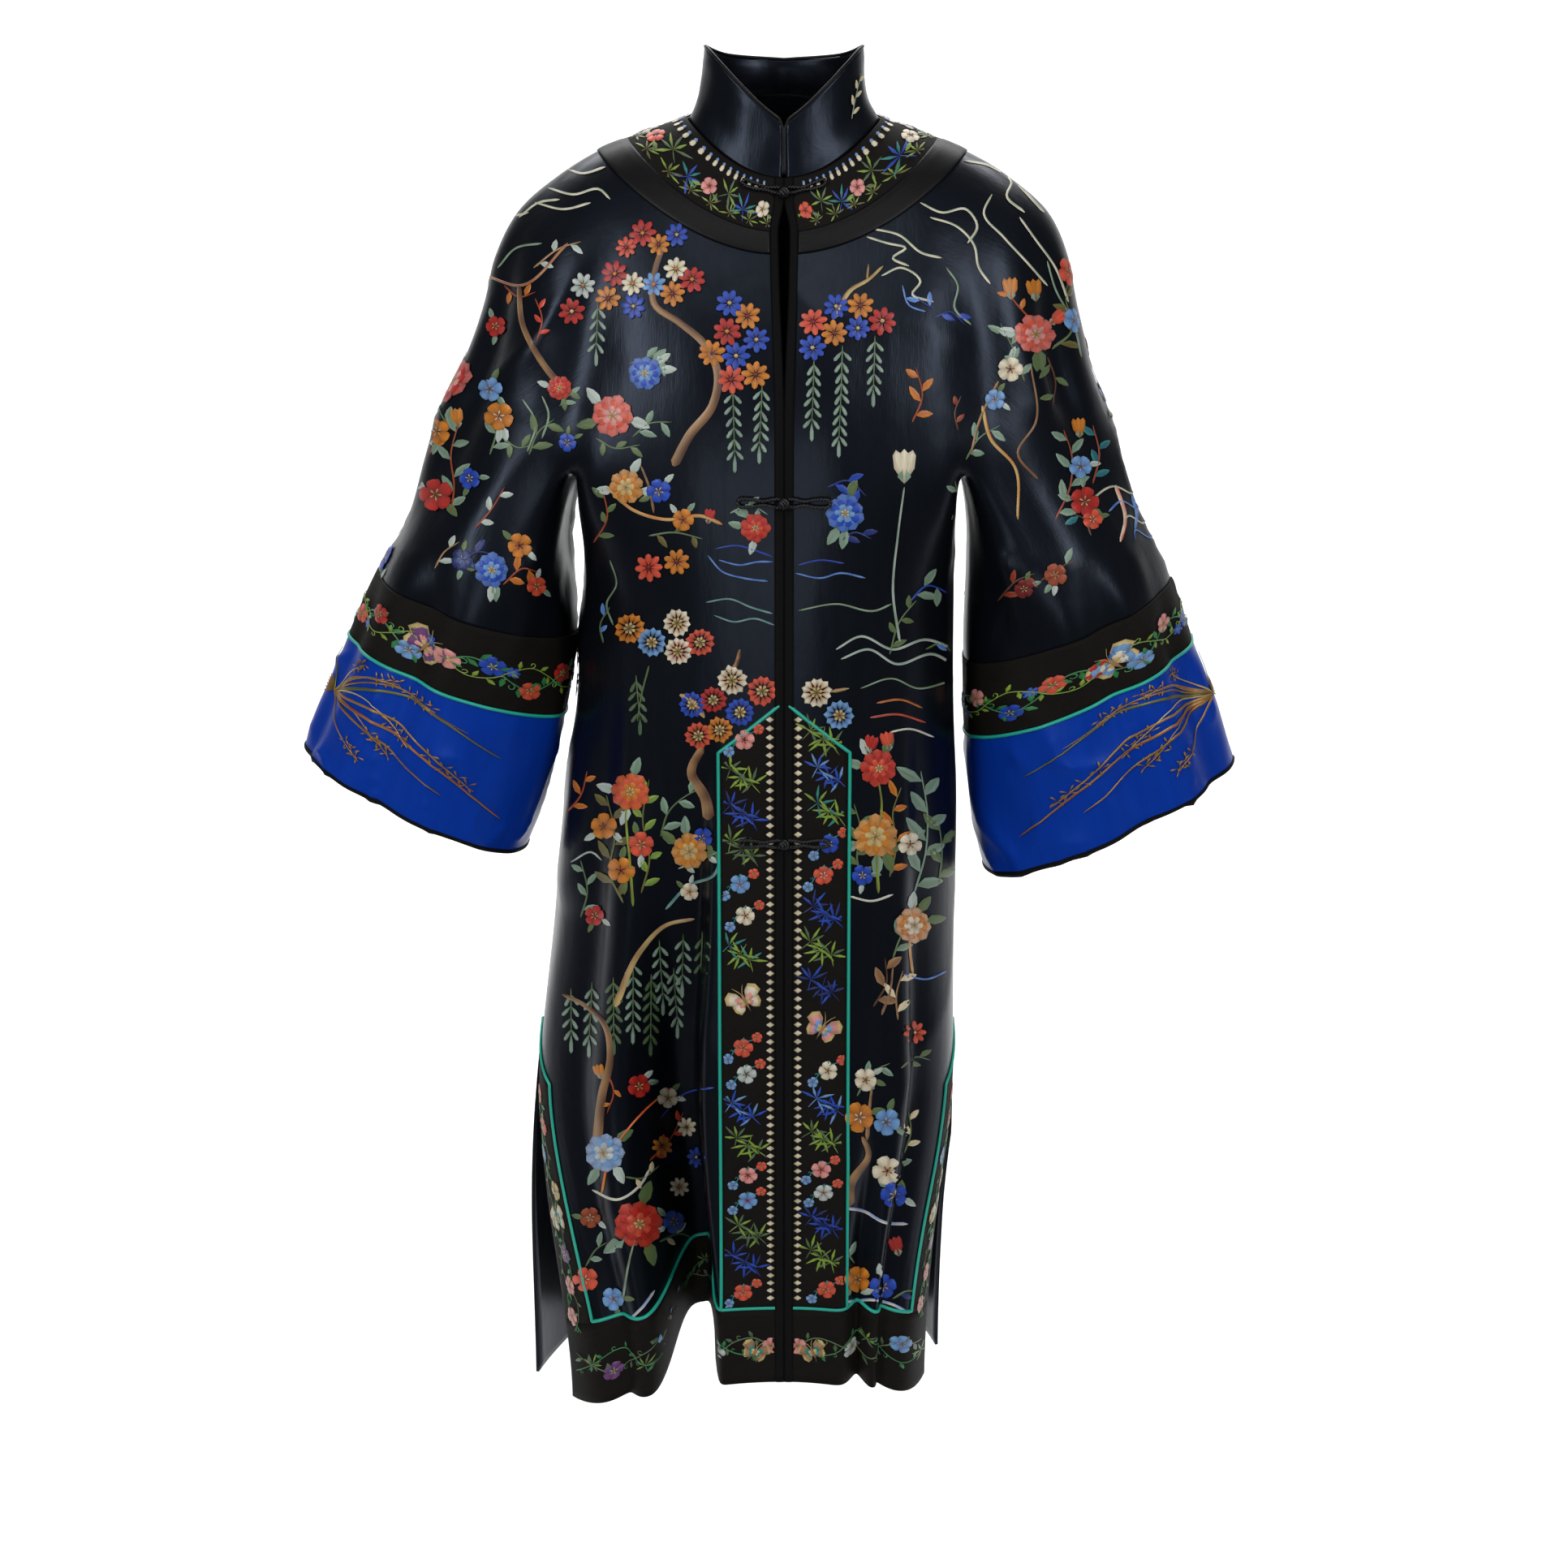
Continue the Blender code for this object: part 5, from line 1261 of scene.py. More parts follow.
def cast(flat, rays):
    """Where the rays of the flat points meet the cloth, and stand out from it by the points' heights."""
    places, out, there = np.array(flat), np.zeros_like(flat), np.zeros(len(flat), bool)
    for i, (x, y, high) in enumerate(flat):
        start, way, tree = rays(x, y)
        hit, facing, _, _ = tree.ray_cast(start, way)
        if hit is not None and facing.dot(way) < GRAZING:
            places[i], out[i], there[i] = hit + facing * high, facing, True
    return places, out, there


def front_rays(x, y):
    across, up = x * DRAWN_PER_M / FOCAL, (MIDDLE + y * DRAWN_PER_M) / FOCAL
    cos, sin = math.cos(SIGHT_DOWN), math.sin(SIGHT_DOWN)
    return SIGHT_FROM, Vector((across, cos + up * sin, up * cos - sin)).normalized(), CLOTH_TREES[
        RIGHT if x < 0 else LEFT]


def back_rays(x, y):
    return Vector((-x, 1.5, y)), Vector((0, -1, 0)), CLOTH_TREES[LEFT if x < 0 else RIGHT]


def side_rays(side):
    return lambda x, y: (Vector((side * 1.5, side * x, y)), Vector((-side, 0, 0)), CLOTH_TREES[side])


def on_surface(surface, side, locate):
    """Lays flat work on a surface at the two values that locate gives for x and y."""
    def placed(flat):
        a, b = locate(flat[:, 0], flat[:, 1])
        base, out = surface(a, b), side * normal(surface, a, b)
        there = np.isfinite(a + b)
        return base + out * (relief(base) + TRIM_HEIGHT + flat[:, 2])[:, None], out, there
    return placed


# What is worked on the fronts and the sleeves, seen from the front, by places on the drawing.
FRONT_FLOWERS = {  # the kind and two dyes; then x and y, and the radius in tenths of a millimetre
    ("star_flower", "red", "amber"): [(792, 288, 118), (758, 338, 118), (853, 345, 118), (896, 409, 126)],
    ("star_flower", "amber", "wine"): [(812, 302, 98), (750, 368, 112), (829, 362, 112), (921, 390, 118),
        (877, 436, 122), (931, 462, 122), (1060, 377, 118), (1028, 411, 118), (834, 692, 118),
        (815, 1412, 92)],
    ("star_flower", "blue", "straw"): [(834, 290, 104), (781, 378, 108), (899, 374, 122), (932, 419, 114),
        (907, 439, 122), (1030, 378, 112), (1057, 405, 112), (1001, 429, 120), (858, 1425, 88)],
    ("star_flower", "coral", "wine"): [(772, 305, 92), (901, 468, 126), (1002, 397, 120), (800, 699, 126)],
    ("star_flower", "grey", "amber"): [(719, 352, 112)],
    ("star_flower", "cream", "amber"): [(780, 350, 104), (833, 332, 108), (836, 1462, 88)],
    ("star_flower", "red", "straw"): [(705, 384, 118), (1087, 396, 126)],
    ("star_flower", "sky", "amber"): [(806, 351, 104)],
    ("star_flower", "coral", "straw"): [(1126, 1272, 100)],
    ("star_flower", "cream", "wine"): [(846, 1388, 92)],
    ("daisy", "amber", "rust"): [(777, 774, 132), (887, 899, 116)],
    ("daisy", "sky", "navy"): [(804, 791, 128), (1034, 881, 132)],
    ("daisy", "cream", "amber"): [(835, 767, 122), (902, 838, 132), (1006, 853, 132)],
    ("daisy", "coral", "wine"): [(863, 791, 124), (939, 851, 132)],
    ("daisy", "cream", "coral"): [(836, 802, 120)],
    ("daisy", "red", "wine"): [(879, 862, 118)],
    ("daisy", "blue", "navy"): [(853, 868, 112), (912, 877, 128)],
    ("daisy", "coral", "rust"): [(861, 906, 118)],
    ("peony", "blue", "sky"): [(795, 460, 150), (1041, 632, 170), (606, 702, 150)],
    ("peony", "coral", "pink"): [(756, 512, 180), (1274, 412, 175)],
    ("peony", "red", "coral"): [(931, 650, 130), (1082, 946, 160), (786, 1508, 210), (690, 478, 110)],
    ("peony", "amber", "straw"): [(772, 600, 150), (1078, 1030, 190), (850, 1048, 165)],
    ("peony", "sky", "grey"): [(745, 1420, 170)],
    ("peony", "amber", "cream"): [(1124, 1140, 160)],
    ("peony", "coral", "amber"): [(778, 975, 165)],
    ("blossom", "blue", "straw"): [(812, 605, 105), (1101, 1472, 115), (1088, 1585, 110), (829, 1505, 100),
        (866, 1032, 90), (1062, 1078, 90), (580, 590, 90), (700, 545, 80)],
    ("blossom", "amber", "wine"): [(842, 640, 95), (745, 1018, 115), (766, 1072, 115), (640, 672, 105)],
    ("blossom", "amber", "cream"): [(1058, 1376, 130), (616, 513, 125)],
    ("blossom", "sky", "straw"): [(1092, 1382, 115), (756, 1600, 100), (1225, 492, 90), (1330, 575, 100),
        (605, 480, 105)],
    ("blossom", "cream", "rust"): [(1093, 1442, 125), (1066, 1330, 100), (1120, 1040, 100), (822, 1352, 90),
        (1244, 455, 110)],
    ("blossom", "amber", "straw"): [(1056, 1576, 120), (540, 532, 110)],
    ("blossom", "coral", "straw"): [(790, 1040, 110), (722, 1576, 110), (1150, 1560, 100), (1345, 640, 85),
        (660, 722, 85)],
    ("blossom", "red", "straw"): [(734, 1128, 85), (786, 1338, 100), (1335, 618, 125), (538, 610, 140),
        (612, 402, 90)],
    ("blossom", "cream", "amber"): [(850, 1098, 80)],
    ("blossom", "rust", "straw"): [(728, 1500, 90)],
    ("blossom", "rust", "amber"): [(1300, 708, 100)],
    ("blossom", "wine", "straw"): [(1262, 725, 85)],
    ("blossom", "navy", "sky"): [(570, 690, 95)],
}
BOUGHS = {  # the widths at both ends in tenths of a millimetre and two dyes; then places along each
    (45, 85, "brown", "tan"): [
        [(818, 300), (806, 340), (806, 374), (838, 398), (868, 424), (884, 458), (878, 500), (850, 536),
        (830, 574)]],
    (48, 22, "tan", "straw"): [[(1028, 392), (1050, 356), (1068, 346), (1088, 328)]],
    (22, 14, "tan", "straw"): [[(1068, 346), (1070, 326)]],
    (18, 10, "leaf", "leaf"): [[(800, 820), (790, 860), (786, 888)]],
    (65, 105, "brown", "tan"): [[(866, 920), (852, 950), (870, 985), (874, 1010)]],
    (45, 45, "tan", "straw"): [[(838, 856), (852, 862), (868, 884)]],
    (30, 40, "brown", "tan"): [[(912, 800), (905, 822), (896, 830)]],
    (35, 20, "tan", "straw"): [[(1024, 852), (1046, 848)]],
    (30, 90, "brown", "tan"): [[(694, 1225), (720, 1238), (745, 1262), (752, 1300), (742, 1350),
        (736, 1410)]],
    (60, 28, "tan", "straw"): [[(758, 1240), (790, 1170), (820, 1140), (856, 1132)]],
    (40, 95, "brown", "tan"): [[(1062, 1400), (1070, 1420), (1048, 1460), (1046, 1486)]],
    (20, 40, "brown", "tan"): [[(1074, 1340), (1070, 1376), (1068, 1404)]],
    (42, 60, "brown", "tan"): [[(640, 352), (644, 398), (664, 440), (694, 480)]],
    (22, 26, "rust", "tan"): [[(600, 340), (640, 352), (700, 300)]],
    (32, 22, "amber", "straw"): [[(1210, 500), (1220, 540), (1250, 575), (1254, 640)]],
    (26, 16, "tan", "brown"): [[(1278, 590), (1254, 560), (1276, 520), (1270, 450)]],
    (28, 18, "brown", "tan"): [[(1230, 470), (1206, 520), (1196, 560)]],
    (26, 30, "amber", "straw"): [[(748, 600), (780, 628), (820, 640), (866, 636), (890, 646)]],
    (20, 24, "brown", "tan"): [[(790, 574), (800, 600), (806, 632)]],
    (26, 16, "olive", "lime"): [[(780, 1116), (776, 1060), (772, 1000), (780, 950)]],
    (28, 16, "olive", "lime"): [[(1082, 1100), (1080, 1040), (1086, 990), (1080, 952)]],
    (24, 16, "sage", "grey"): [[(1108, 790), (1100, 730), (1106, 660), (1114, 600)]],
    (26, 16, "amber", "straw"): [[(1124, 1200), (1120, 1160), (1126, 1110)]],
    (22, 14, "coral", "amber"): [[(742, 1470), (750, 1430), (790, 1372), (826, 1340)]],
    (22, 16, "olive", "sage"): [[(768, 1600), (776, 1550), (786, 1512)]],
    (26, 16, "brown", "tan"): [[(1086, 1250), (1096, 1222), (1100, 1190)]],
}
RIPPLES = {  # as the boughs
    (14, 18, "navy", "blue"): [[(882, 676), (908, 672), (930, 678), (952, 686)]],
    (13, 17, "blue", "sky"): [[(886, 690), (912, 696), (934, 692), (952, 692)],
        [(872, 684), (890, 704), (916, 712), (946, 716)],
        [(980, 706), (1012, 712), (1034, 706), (1066, 712)]],
    (13, 15, "navy", "blue"): [[(984, 696), (1010, 690), (1040, 694)]],
    (13, 17, "teal", "sage"): [[(870, 742), (900, 738), (925, 748), (952, 756)],
        [(880, 758), (904, 766), (930, 762), (954, 770)]],
    (13, 17, "leaf", "sage"): [[(984, 752), (1030, 744), (1080, 752), (1098, 744)],
        [(1060, 848), (1100, 836), (1130, 848), (1168, 840)]],
    (18, 24, "sage", "grey"): [[(1030, 800), (1060, 784), (1100, 800), (1140, 788), (1176, 800)],
        [(1036, 812), (1070, 800), (1104, 818), (1150, 806), (1178, 822)]],
    (18, 18, "rust", "amber"): [[(1080, 866), (1110, 862), (1136, 872)]],
    (18, 18, "rust", "coral"): [[(1072, 884), (1106, 880), (1140, 890)]],
    (16, 18, "grey", "cream"): [[(1096, 902), (1120, 898), (1150, 908)]],
    (13, 16, "leaf", "sage"): [[(752, 690), (760, 720), (748, 744), (756, 770)]],
    (15, 18, "sage", "grey"): [[(704, 1062), (730, 1050), (742, 1060)]],
    (26, 24, "teal", "sage"): [[(820, 1120), (850, 1090), (880, 1078), (888, 1060)]],
    (15, 18, "blue", "sky"): [[(1112, 1200), (1142, 1206), (1166, 1196)],
        [(1112, 352), (1120, 376), (1140, 384)]],
    (17, 20, "grey", "cream"): [[(1046, 1104), (1074, 1110), (1100, 1102)]],
    (22, 22, "grey", "cream"): [[(730, 1466), (760, 1478), (790, 1458), (800, 1440)]],
    (26, 26, "sky", "cream"): [[(1036, 1488), (1064, 1492), (1090, 1506), (1118, 1508)]],
    (26, 22, "sky", "cream"): [[(712, 1636), (750, 1640), (790, 1612), (806, 1590)],
        [(1040, 1604), (1080, 1602), (1110, 1612), (1124, 1622)]],
    (13, 16, "navy", "blue"): [[(812, 1378), (846, 1346), (880, 1340)]],
    (18, 22, "sage", "cream"): [[(1068, 292), (1094, 300), (1116, 306), (1100, 318), (1120, 328)],
        [(1076, 282), (1108, 290), (1136, 312), (1160, 318)],
        [(1086, 340), (1110, 330), (1134, 348), (1124, 362), (1150, 372)],
        [(1134, 250), (1160, 262), (1190, 258), (1204, 280), (1192, 300)],
        [(1146, 268), (1180, 280), (1200, 302), (1206, 330), (1220, 350)],
        [(1188, 198), (1222, 206), (1246, 226), (1240, 240), (1262, 262)],
        [(1206, 192), (1240, 214), (1262, 236), (1286, 262)]],
    (18, 20, "sage", "cream"): [[(1222, 240), (1212, 262), (1236, 292), (1262, 320), (1290, 352)],
        [(1256, 268), (1276, 296), (1300, 330), (1316, 372)],
        [(676, 232), (706, 240), (740, 234), (752, 246)]],
    (16, 18, "leaf", "sage"): [[(1290, 322), (1300, 356), (1322, 398), (1332, 440)],
        [(614, 330), (636, 306), (668, 300)]],
    (16, 20, "leaf", "sage"): [[(1166, 330), (1180, 352), (1176, 380), (1196, 400)]],
    (18, 20, "grey", "cream"): [[(686, 200), (716, 214), (746, 206)]],
    (16, 20, "sage", "cream"): [[(660, 250), (694, 258), (728, 250)], [(640, 268), (664, 250), (690, 246)]],
    (16, 18, "sage", "cream"): [[(608, 300), (622, 272), (652, 262)]],
    (20, 16, "leaf", "sage"): [[(668, 540), (676, 510), (668, 488)], [(650, 556), (660, 520), (644, 492)]],
    (34, 28, "coral", "cream"): [[(494, 646), (500, 618), (512, 590)],
        [(1374, 598), (1386, 640), (1380, 668)]],
    (30, 26, "blue", "sky"): [[(1394, 610), (1400, 634), (1398, 652)]],
}
WILLOWS = [  # x and y of the top, the length, and the dye
    (903, 478, 0.058, "sage"), (939, 474, 0.053, "sage"), (737, 372, 0.040, "sage"),
    (1003, 442, 0.056, "sage"), (1038, 426, 0.082, "sage"), (1078, 414, 0.046, "sage"),
    (784, 832, 0.036, "leaf"), (812, 1158, 0.050, "sage"), (842, 1150, 0.040, "sage"),
    (780, 1182, 0.058, "sage"), (866, 1148, 0.032, "leaf"), (756, 1204, 0.052, "leaf"),
    (730, 1210, 0.050, "sage"), (802, 1200, 0.056, "leaf"), (830, 1192, 0.046, "sage"),
    (704, 1218, 0.040, "sage"),
]
SPRAYS = [  # places along the stem, the leaves' dye and length, and the stem's dye
    ([(776, 448), (800, 440), (826, 446)], "sage", 0.0150, "leaf"),
    ([(780, 538), (800, 522), (828, 520)], "sage", 0.0150, "leaf"),
    ([(735, 540), (756, 552), (790, 548)], "leaf", 0.0140, "leaf"),
    ([(732, 668), (748, 640), (742, 600)], "leaf", 0.0130, "rust"),
    ([(800, 660), (830, 656), (866, 664)], "olive", 0.0130, "leaf"),
    ([(900, 632), (924, 622), (946, 634)], "sage", 0.0120, "sage"),
    ([(1020, 600), (1044, 592), (1068, 612)], "blue", 0.0150, "navy"),
    ([(1034, 668), (1052, 656), (1074, 664)], "navy", 0.0140, "navy"),
    ([(1124, 520), (1136, 490), (1128, 452)], "amber", 0.0160, "rust"),
    ([(1122, 740), (1140, 722), (1180, 738)], "sage", 0.0180, "blue"),
    ([(1096, 806), (1108, 766), (1128, 740)], "leaf", 0.0130, "leaf"),
    ([(1140, 800), (1160, 792), (1176, 812)], "sky", 0.0110, "leaf"),
    ([(744, 792), (740, 770), (752, 748)], "sky", 0.0100, "leaf"),
    ([(768, 1112), (752, 1076), (758, 1030), (748, 980)], "olive", 0.0170, "olive"),
    ([(790, 1100), (800, 1060), (792, 1010), (800, 960)], "lime", 0.0150, "olive"),
    ([(814, 1030), (824, 1000), (846, 980), (862, 972)], "sage", 0.0170, "leaf"),
    ([(836, 1070), (862, 1060), (884, 1050)], "grey", 0.0120, "sage"),
    ([(700, 1000), (716, 980), (724, 950)], "amber", 0.0130, "rust"),
    ([(716, 1130), (724, 1100), (716, 1060)], "sage", 0.0130, "leaf"),
    ([(1066, 1090), (1056, 1060), (1060, 1020), (1052, 990)], "leaf", 0.0150, "leaf"),
    ([(1096, 1080), (1104, 1040), (1100, 1000), (1110, 970)], "amber", 0.0150, "olive"),
    ([(1126, 1100), (1140, 1050), (1142, 1000), (1134, 950)], "sage", 0.0240, "sage"),
    ([(1156, 1090), (1160, 1050), (1156, 1010)], "leaf", 0.0200, "leaf"),
    ([(1100, 1180), (1112, 1150), (1136, 1130)], "sage", 0.0150, "leaf"),
    ([(1076, 1240), (1092, 1210), (1090, 1180)], "tan", 0.0190, "brown"),
    ([(1106, 1256), (1104, 1226), (1112, 1196)], "cream", 0.0150, "tan"),
    ([(1056, 1350), (1072, 1322), (1096, 1310)], "sage", 0.0140, "leaf"),
    ([(1114, 1420), (1122, 1394), (1118, 1366)], "cream", 0.0130, "leaf"),
    ([(1110, 1316), (1128, 1302), (1146, 1306)], "leaf", 0.0120, "leaf"),
    ([(1052, 1556), (1040, 1536), (1038, 1514)], "sage", 0.0130, "leaf"),
    ([(1100, 1600), (1120, 1590), (1138, 1598)], "navy", 0.0120, "leaf"),
    ([(722, 1560), (736, 1538), (750, 1530)], "sage", 0.0130, "leaf"),
    ([(812, 1530), (836, 1520), (862, 1530)], "cream", 0.0120, "leaf"),
    ([(800, 1430), (826, 1402), (842, 1370)], "coral", 0.0110, "rust"),
    ([(770, 1450), (790, 1452), (812, 1436)], "cream", 0.0110, "leaf"),
    ([(746, 1318), (756, 1344), (748, 1372)], "amber", 0.0090, "rust"),
    # sleeves
    ([(1262, 470), (1248, 430), (1232, 398)], "sage", 0.0150, "leaf"),
    ([(1268, 392), (1250, 372), (1236, 352)], "amber", 0.0120, "rust"),
    ([(1290, 440), (1300, 470), (1296, 500)], "leaf", 0.0140, "brown"),
    ([(1190, 566), (1206, 540), (1232, 524)], "sage", 0.0160, "leaf"),
    ([(1300, 640), (1318, 600), (1320, 560), (1310, 530)], "sage", 0.0170, "rust"),
    ([(1346, 596), (1354, 560), (1346, 524)], "teal", 0.0150, "rust"),
    ([(1344, 660), (1336, 640), (1316, 632)], "teal", 0.0150, "brown"),
    ([(1282, 716), (1304, 700), (1326, 690)], "sage", 0.0150, "brown"),
    ([(1230, 740), (1252, 716), (1276, 706)], "rust", 0.0130, "brown"),
    ([(1150, 392), (1170, 384), (1188, 400)], "blue", 0.0140, "navy"),
    ([(1150, 380), (1136, 372), (1124, 360)], "sky", 0.0120, "navy"),
    ([(556, 632), (560, 600), (556, 560), (566, 520)], "sage", 0.0170, "rust"),
    ([(530, 560), (540, 540), (560, 524)], "amber", 0.0110, "rust"),
    ([(604, 560), (612, 530), (606, 500)], "sage", 0.0150, "leaf"),
    ([(652, 560), (664, 532), (684, 516)], "leaf", 0.0170, "leaf"),
    ([(620, 540), (640, 552), (656, 548)], "leaf", 0.0140, "leaf"),
    ([(622, 352), (640, 366), (660, 360)], "amber", 0.0120, "rust"),
    ([(658, 330), (690, 306), (716, 298)], "grey", 0.0130, "tan"),
    ([(586, 650), (604, 630), (622, 600)], "grey", 0.0140, "rust"),
    ([(560, 700), (590, 680), (620, 690)], "navy", 0.0170, "navy"),
    ([(620, 720), (646, 700), (664, 706)], "amber", 0.0160, "rust"),
    ([(536, 700), (548, 680), (566, 668)], "grey", 0.0130, "tan"),
    ([(662, 420), (668, 392), (660, 368)], "coral", 0.0100, "rust"),
    ([(690, 500), (704, 486), (716, 490)], "sage", 0.0110, "leaf"),
    ([(1172, 640), (1180, 616), (1176, 592)], "sage", 0.0130, "leaf"),
    ([(1180, 530), (1176, 508), (1184, 488)], "rust", 0.0110, "brown"),
]
BUDS = [  # x and y of the foot, the turn, the length, and the dye
    (1276, 372, 0.15, 0.020, "amber"), (1246, 370, 0.1, 0.020, "amber"), (1292, 400, -0.9, 0.018, "coral"),
    (1114, 596, 0.0, 0.030, "cream"), (1096, 926, 0.2, 0.018, "coral"), (1068, 930, -0.3, 0.018, "red"),
    (566, 528, 0.2, 0.018, "amber"), (1108, 1548, 0.3, 0.018, "red"), (872, 646, -0.2, 0.014, "red"),
    (742, 1330, 0.3, 0.014, "amber"), (1330, 540, 0.1, 0.018, "amber"),
]

front_work = Hoop(5)
for table, rise, cells in ((RIPPLES, 0.0005, 2), (BOUGHS, 0.0009, 4)):
    for (start, end, name, lit), lines in table.items():
        for line in lines:
            front_work.stem(spots(*line), start * TENTH_MM, end * TENTH_MM, name, rise, 0.0, lit, cells)
for x, y, length, name in WILLOWS:
    front_work.willow(spot(x, y), length, name, sway=front_work.chance.uniform(-0.004, 0.004))
for places, name, length, stem_name in SPRAYS:
    front_work.spray(spots(*places), name, length, stem_name)
for x, y, turn, length, name in BUDS:
    front_work.bud(spot(x, y), turn, length, name)
for (kind, name, second), flowers in FRONT_FLOWERS.items():
    for x, y, radius in flowers:
        radius *= TENTH_MM
        if kind in ("peony", "blossom"):
            front_work.lift = LIFT
            for _ in range(2 if kind == "blossom" else 3):
                turn = front_work.chance.uniform(0, 2 * math.pi)
                root = np.add(spot(x, y), turned(0, radius * 0.7, turn))
                front_work.leaf(tuple(root), turn, radius * 1.15, radius * 0.55,
                                front_work.chance.choice(["sage", "leaf", "grey"]))
        front_work.lift = LIFT + BLOSSOM_LIFT
        getattr(front_work, kind)(spot(x, y), radius, name, second)
front_work.draped("embroidery_front", lambda flat: cast(flat, front_rays))


# The backs and the outer sides of the sleeves are worked in the same motifs, spread evenly by a seeded draw.
def strewn(work, across, up, gap):
    """Works a motif near each point of a lattice, every second line of it shifted by half a gap."""
    draw = work.chance
    for line, y in enumerate(np.arange(up[0], up[1], gap)):
        for x in np.arange(across[0] + (line % 2) * gap / 2, across[1], gap):
            x0, y0 = x + draw.uniform(-0.2, 0.2) * gap, y + draw.uniform(-0.2, 0.2) * gap
            bold, other = draw.choice(["red", "coral", "amber", "blue", "sky", "cream"], 2, replace=False)
            kind = draw.choice(["stars", "daisies", "peony", "spray", "spray", "ripples"])
            flip = draw.choice([-1, 1])
            work.lift = LIFT
            if kind in ("stars", "daisies"):
                for k in range(2):
                    work.willow((x0 + flip * (0.008 + 0.020 * k), y0 - 0.006), draw.uniform(0.036, 0.056))
                if kind == "daisies":
                    work.stem([(x0 + flip * 0.040, y0 - 0.034), (x0 + flip * 0.026, y0 - 0.008),
                               (x0 - flip * 0.020, y0 + 0.012)], 0.0080, 0.0040, "brown", 0.0010, lit="tan",
                              cells=4)
            elif kind == "ripples":
                for k in range(4):
                    y1 = y0 - 0.013 * k
                    name, lit = (("sage", "cream"), ("blue", "sky"))[k % 2]
                    ripple = [(x0 - 0.034 + 0.006 * k, y1), (x0 - 0.010, y1 + 0.006),
                              (x0 + 0.014, y1 - 0.004), (x0 + 0.036, y1 + 0.004)]
                    work.stem(ripple, 0.0014, 0.0020, name, lit=lit)
            else:
                stem = [(x0 + flip * 0.016, y0 - 0.038), (x0 - flip * 0.004, y0 - 0.016), (x0, y0),
                        (x0 - flip * 0.010, y0 + 0.024)]
                work.spray(stem, draw.choice(["sage", "leaf", "grey", "olive"]), 0.0155, "leaf")
            work.lift = LIFT + BLOSSOM_LIFT
            if kind in ("stars", "daisies"):
                flower = work.star_flower if kind == "stars" else work.daisy
                for k in range(6):
                    off_x, off_y = 0.021 * (k % 3) - 0.016, 0.021 * (k // 3) - 0.004 + 0.006 * (k % 2)
                    flower((x0 + flip * off_x, y0 + off_y), 0.0118, (bold, other)[k % 2], "rust")
            elif kind == "peony":
                work.peony((x0, y0), draw.uniform(0.015, 0.020), bold, "cream" if bold == "amber" else "pink")
            elif kind == "spray":
                for at in (stem[3], stem[1]):
                    work.blossom(at, draw.uniform(0.010, 0.013), bold if at is stem[3] else other)


back_work = Hoop(71)
strewn(back_work, (-0.37, 0.38), (-0.97, -0.10), 0.078)
back_work.draped("embroidery_back", lambda flat: cast(flat, back_rays))
for side in (RIGHT, LEFT):
    side_work = Hoop(73 + side)
    strewn(side_work, (-0.02, 0.03), (-0.47, -0.12), 0.080)
    side_work.draped(f"embroidery_side_{SIDE_NAMES[side]}", lambda flat: cast(flat, side_rays(side)))


# Small sprays on the ribbed silk of the yoke, the bands and the borders, with drops round the neck and rows
# of teeth beside the opening.
YOKE_RATE, YOKE_MIDDLE_V, YOKE_DOWN = 0.104, 0.125, 0.24
CLOTH_PER_V = UNDERARM_Z - HEM_Z
SLEEVE_RATE, SLEEVE_DOWN = 0.335, 0.33


def yoke_place(x, y):
    v = YOKE_MIDDLE_V - y / YOKE_DOWN
    w = 3 - x / YOKE_RATE
    first, last = u_of(RIGHT, BINDING, v) / FRONT_CORNER, 6 - u_of(LEFT, BINDING, v) / FRONT_CORNER
    return np.where((w > first) & (w < last) & (v > 0.004) & (v < YOKE_SEAM_V - 0.006), w, np.nan), v


def band_place(side):
    def place(x, y):
        v = 1 + (UNDERARM_Z - y) / CLOTH_PER_V
        off = side * x
        inside = (off > BINDING + 0.0002) & (off < BAND_HALF - 0.0012) & (v < BORDER_V - PIPING_V)
        return np.where(inside, u_of(side, off, v), np.nan), v
    return place


def hem_place(side, face):
    def place(x, y):
        v = 0.5 * (BORDER_V + 2) - y / CLOTH_PER_V
        off = side * x if face == "front" else -side * x
        if face == "front":
            u = np.where(off > BINDING + 0.0002, u_of(side, off, v), np.nan)
        else:
            u = np.where(off > 0.001, 2 - off / HEMS[side, "back"].edge_x, np.nan)
        return np.where((v > BORDER_V + 0.002) & (v < 1.996), u, np.nan), v
    return place


def slit_place(side, face):
    def place(x, y):
        v = 1 + (UNDERARM_Z - y) / CLOTH_PER_V
        share = 0.5 + (side * x if face == "front" else -side * x) / 0.044
        there = (share > 0.04) & (share < 0.96) & (v > SLIT_SHOULDER) & (v < 1.93)
        return np.where(there, mix(slit_edge_u(side, face, v), 1.0, share), np.nan), v
    return place


def sleeve_place(side, middle_v, first, last):
    def place(x, y):
        v = middle_v - y / SLEEVE_DOWN
        return np.where((v > first) & (v < last), 0.5 + side * x / SLEEVE_RATE, np.nan), v
    return place


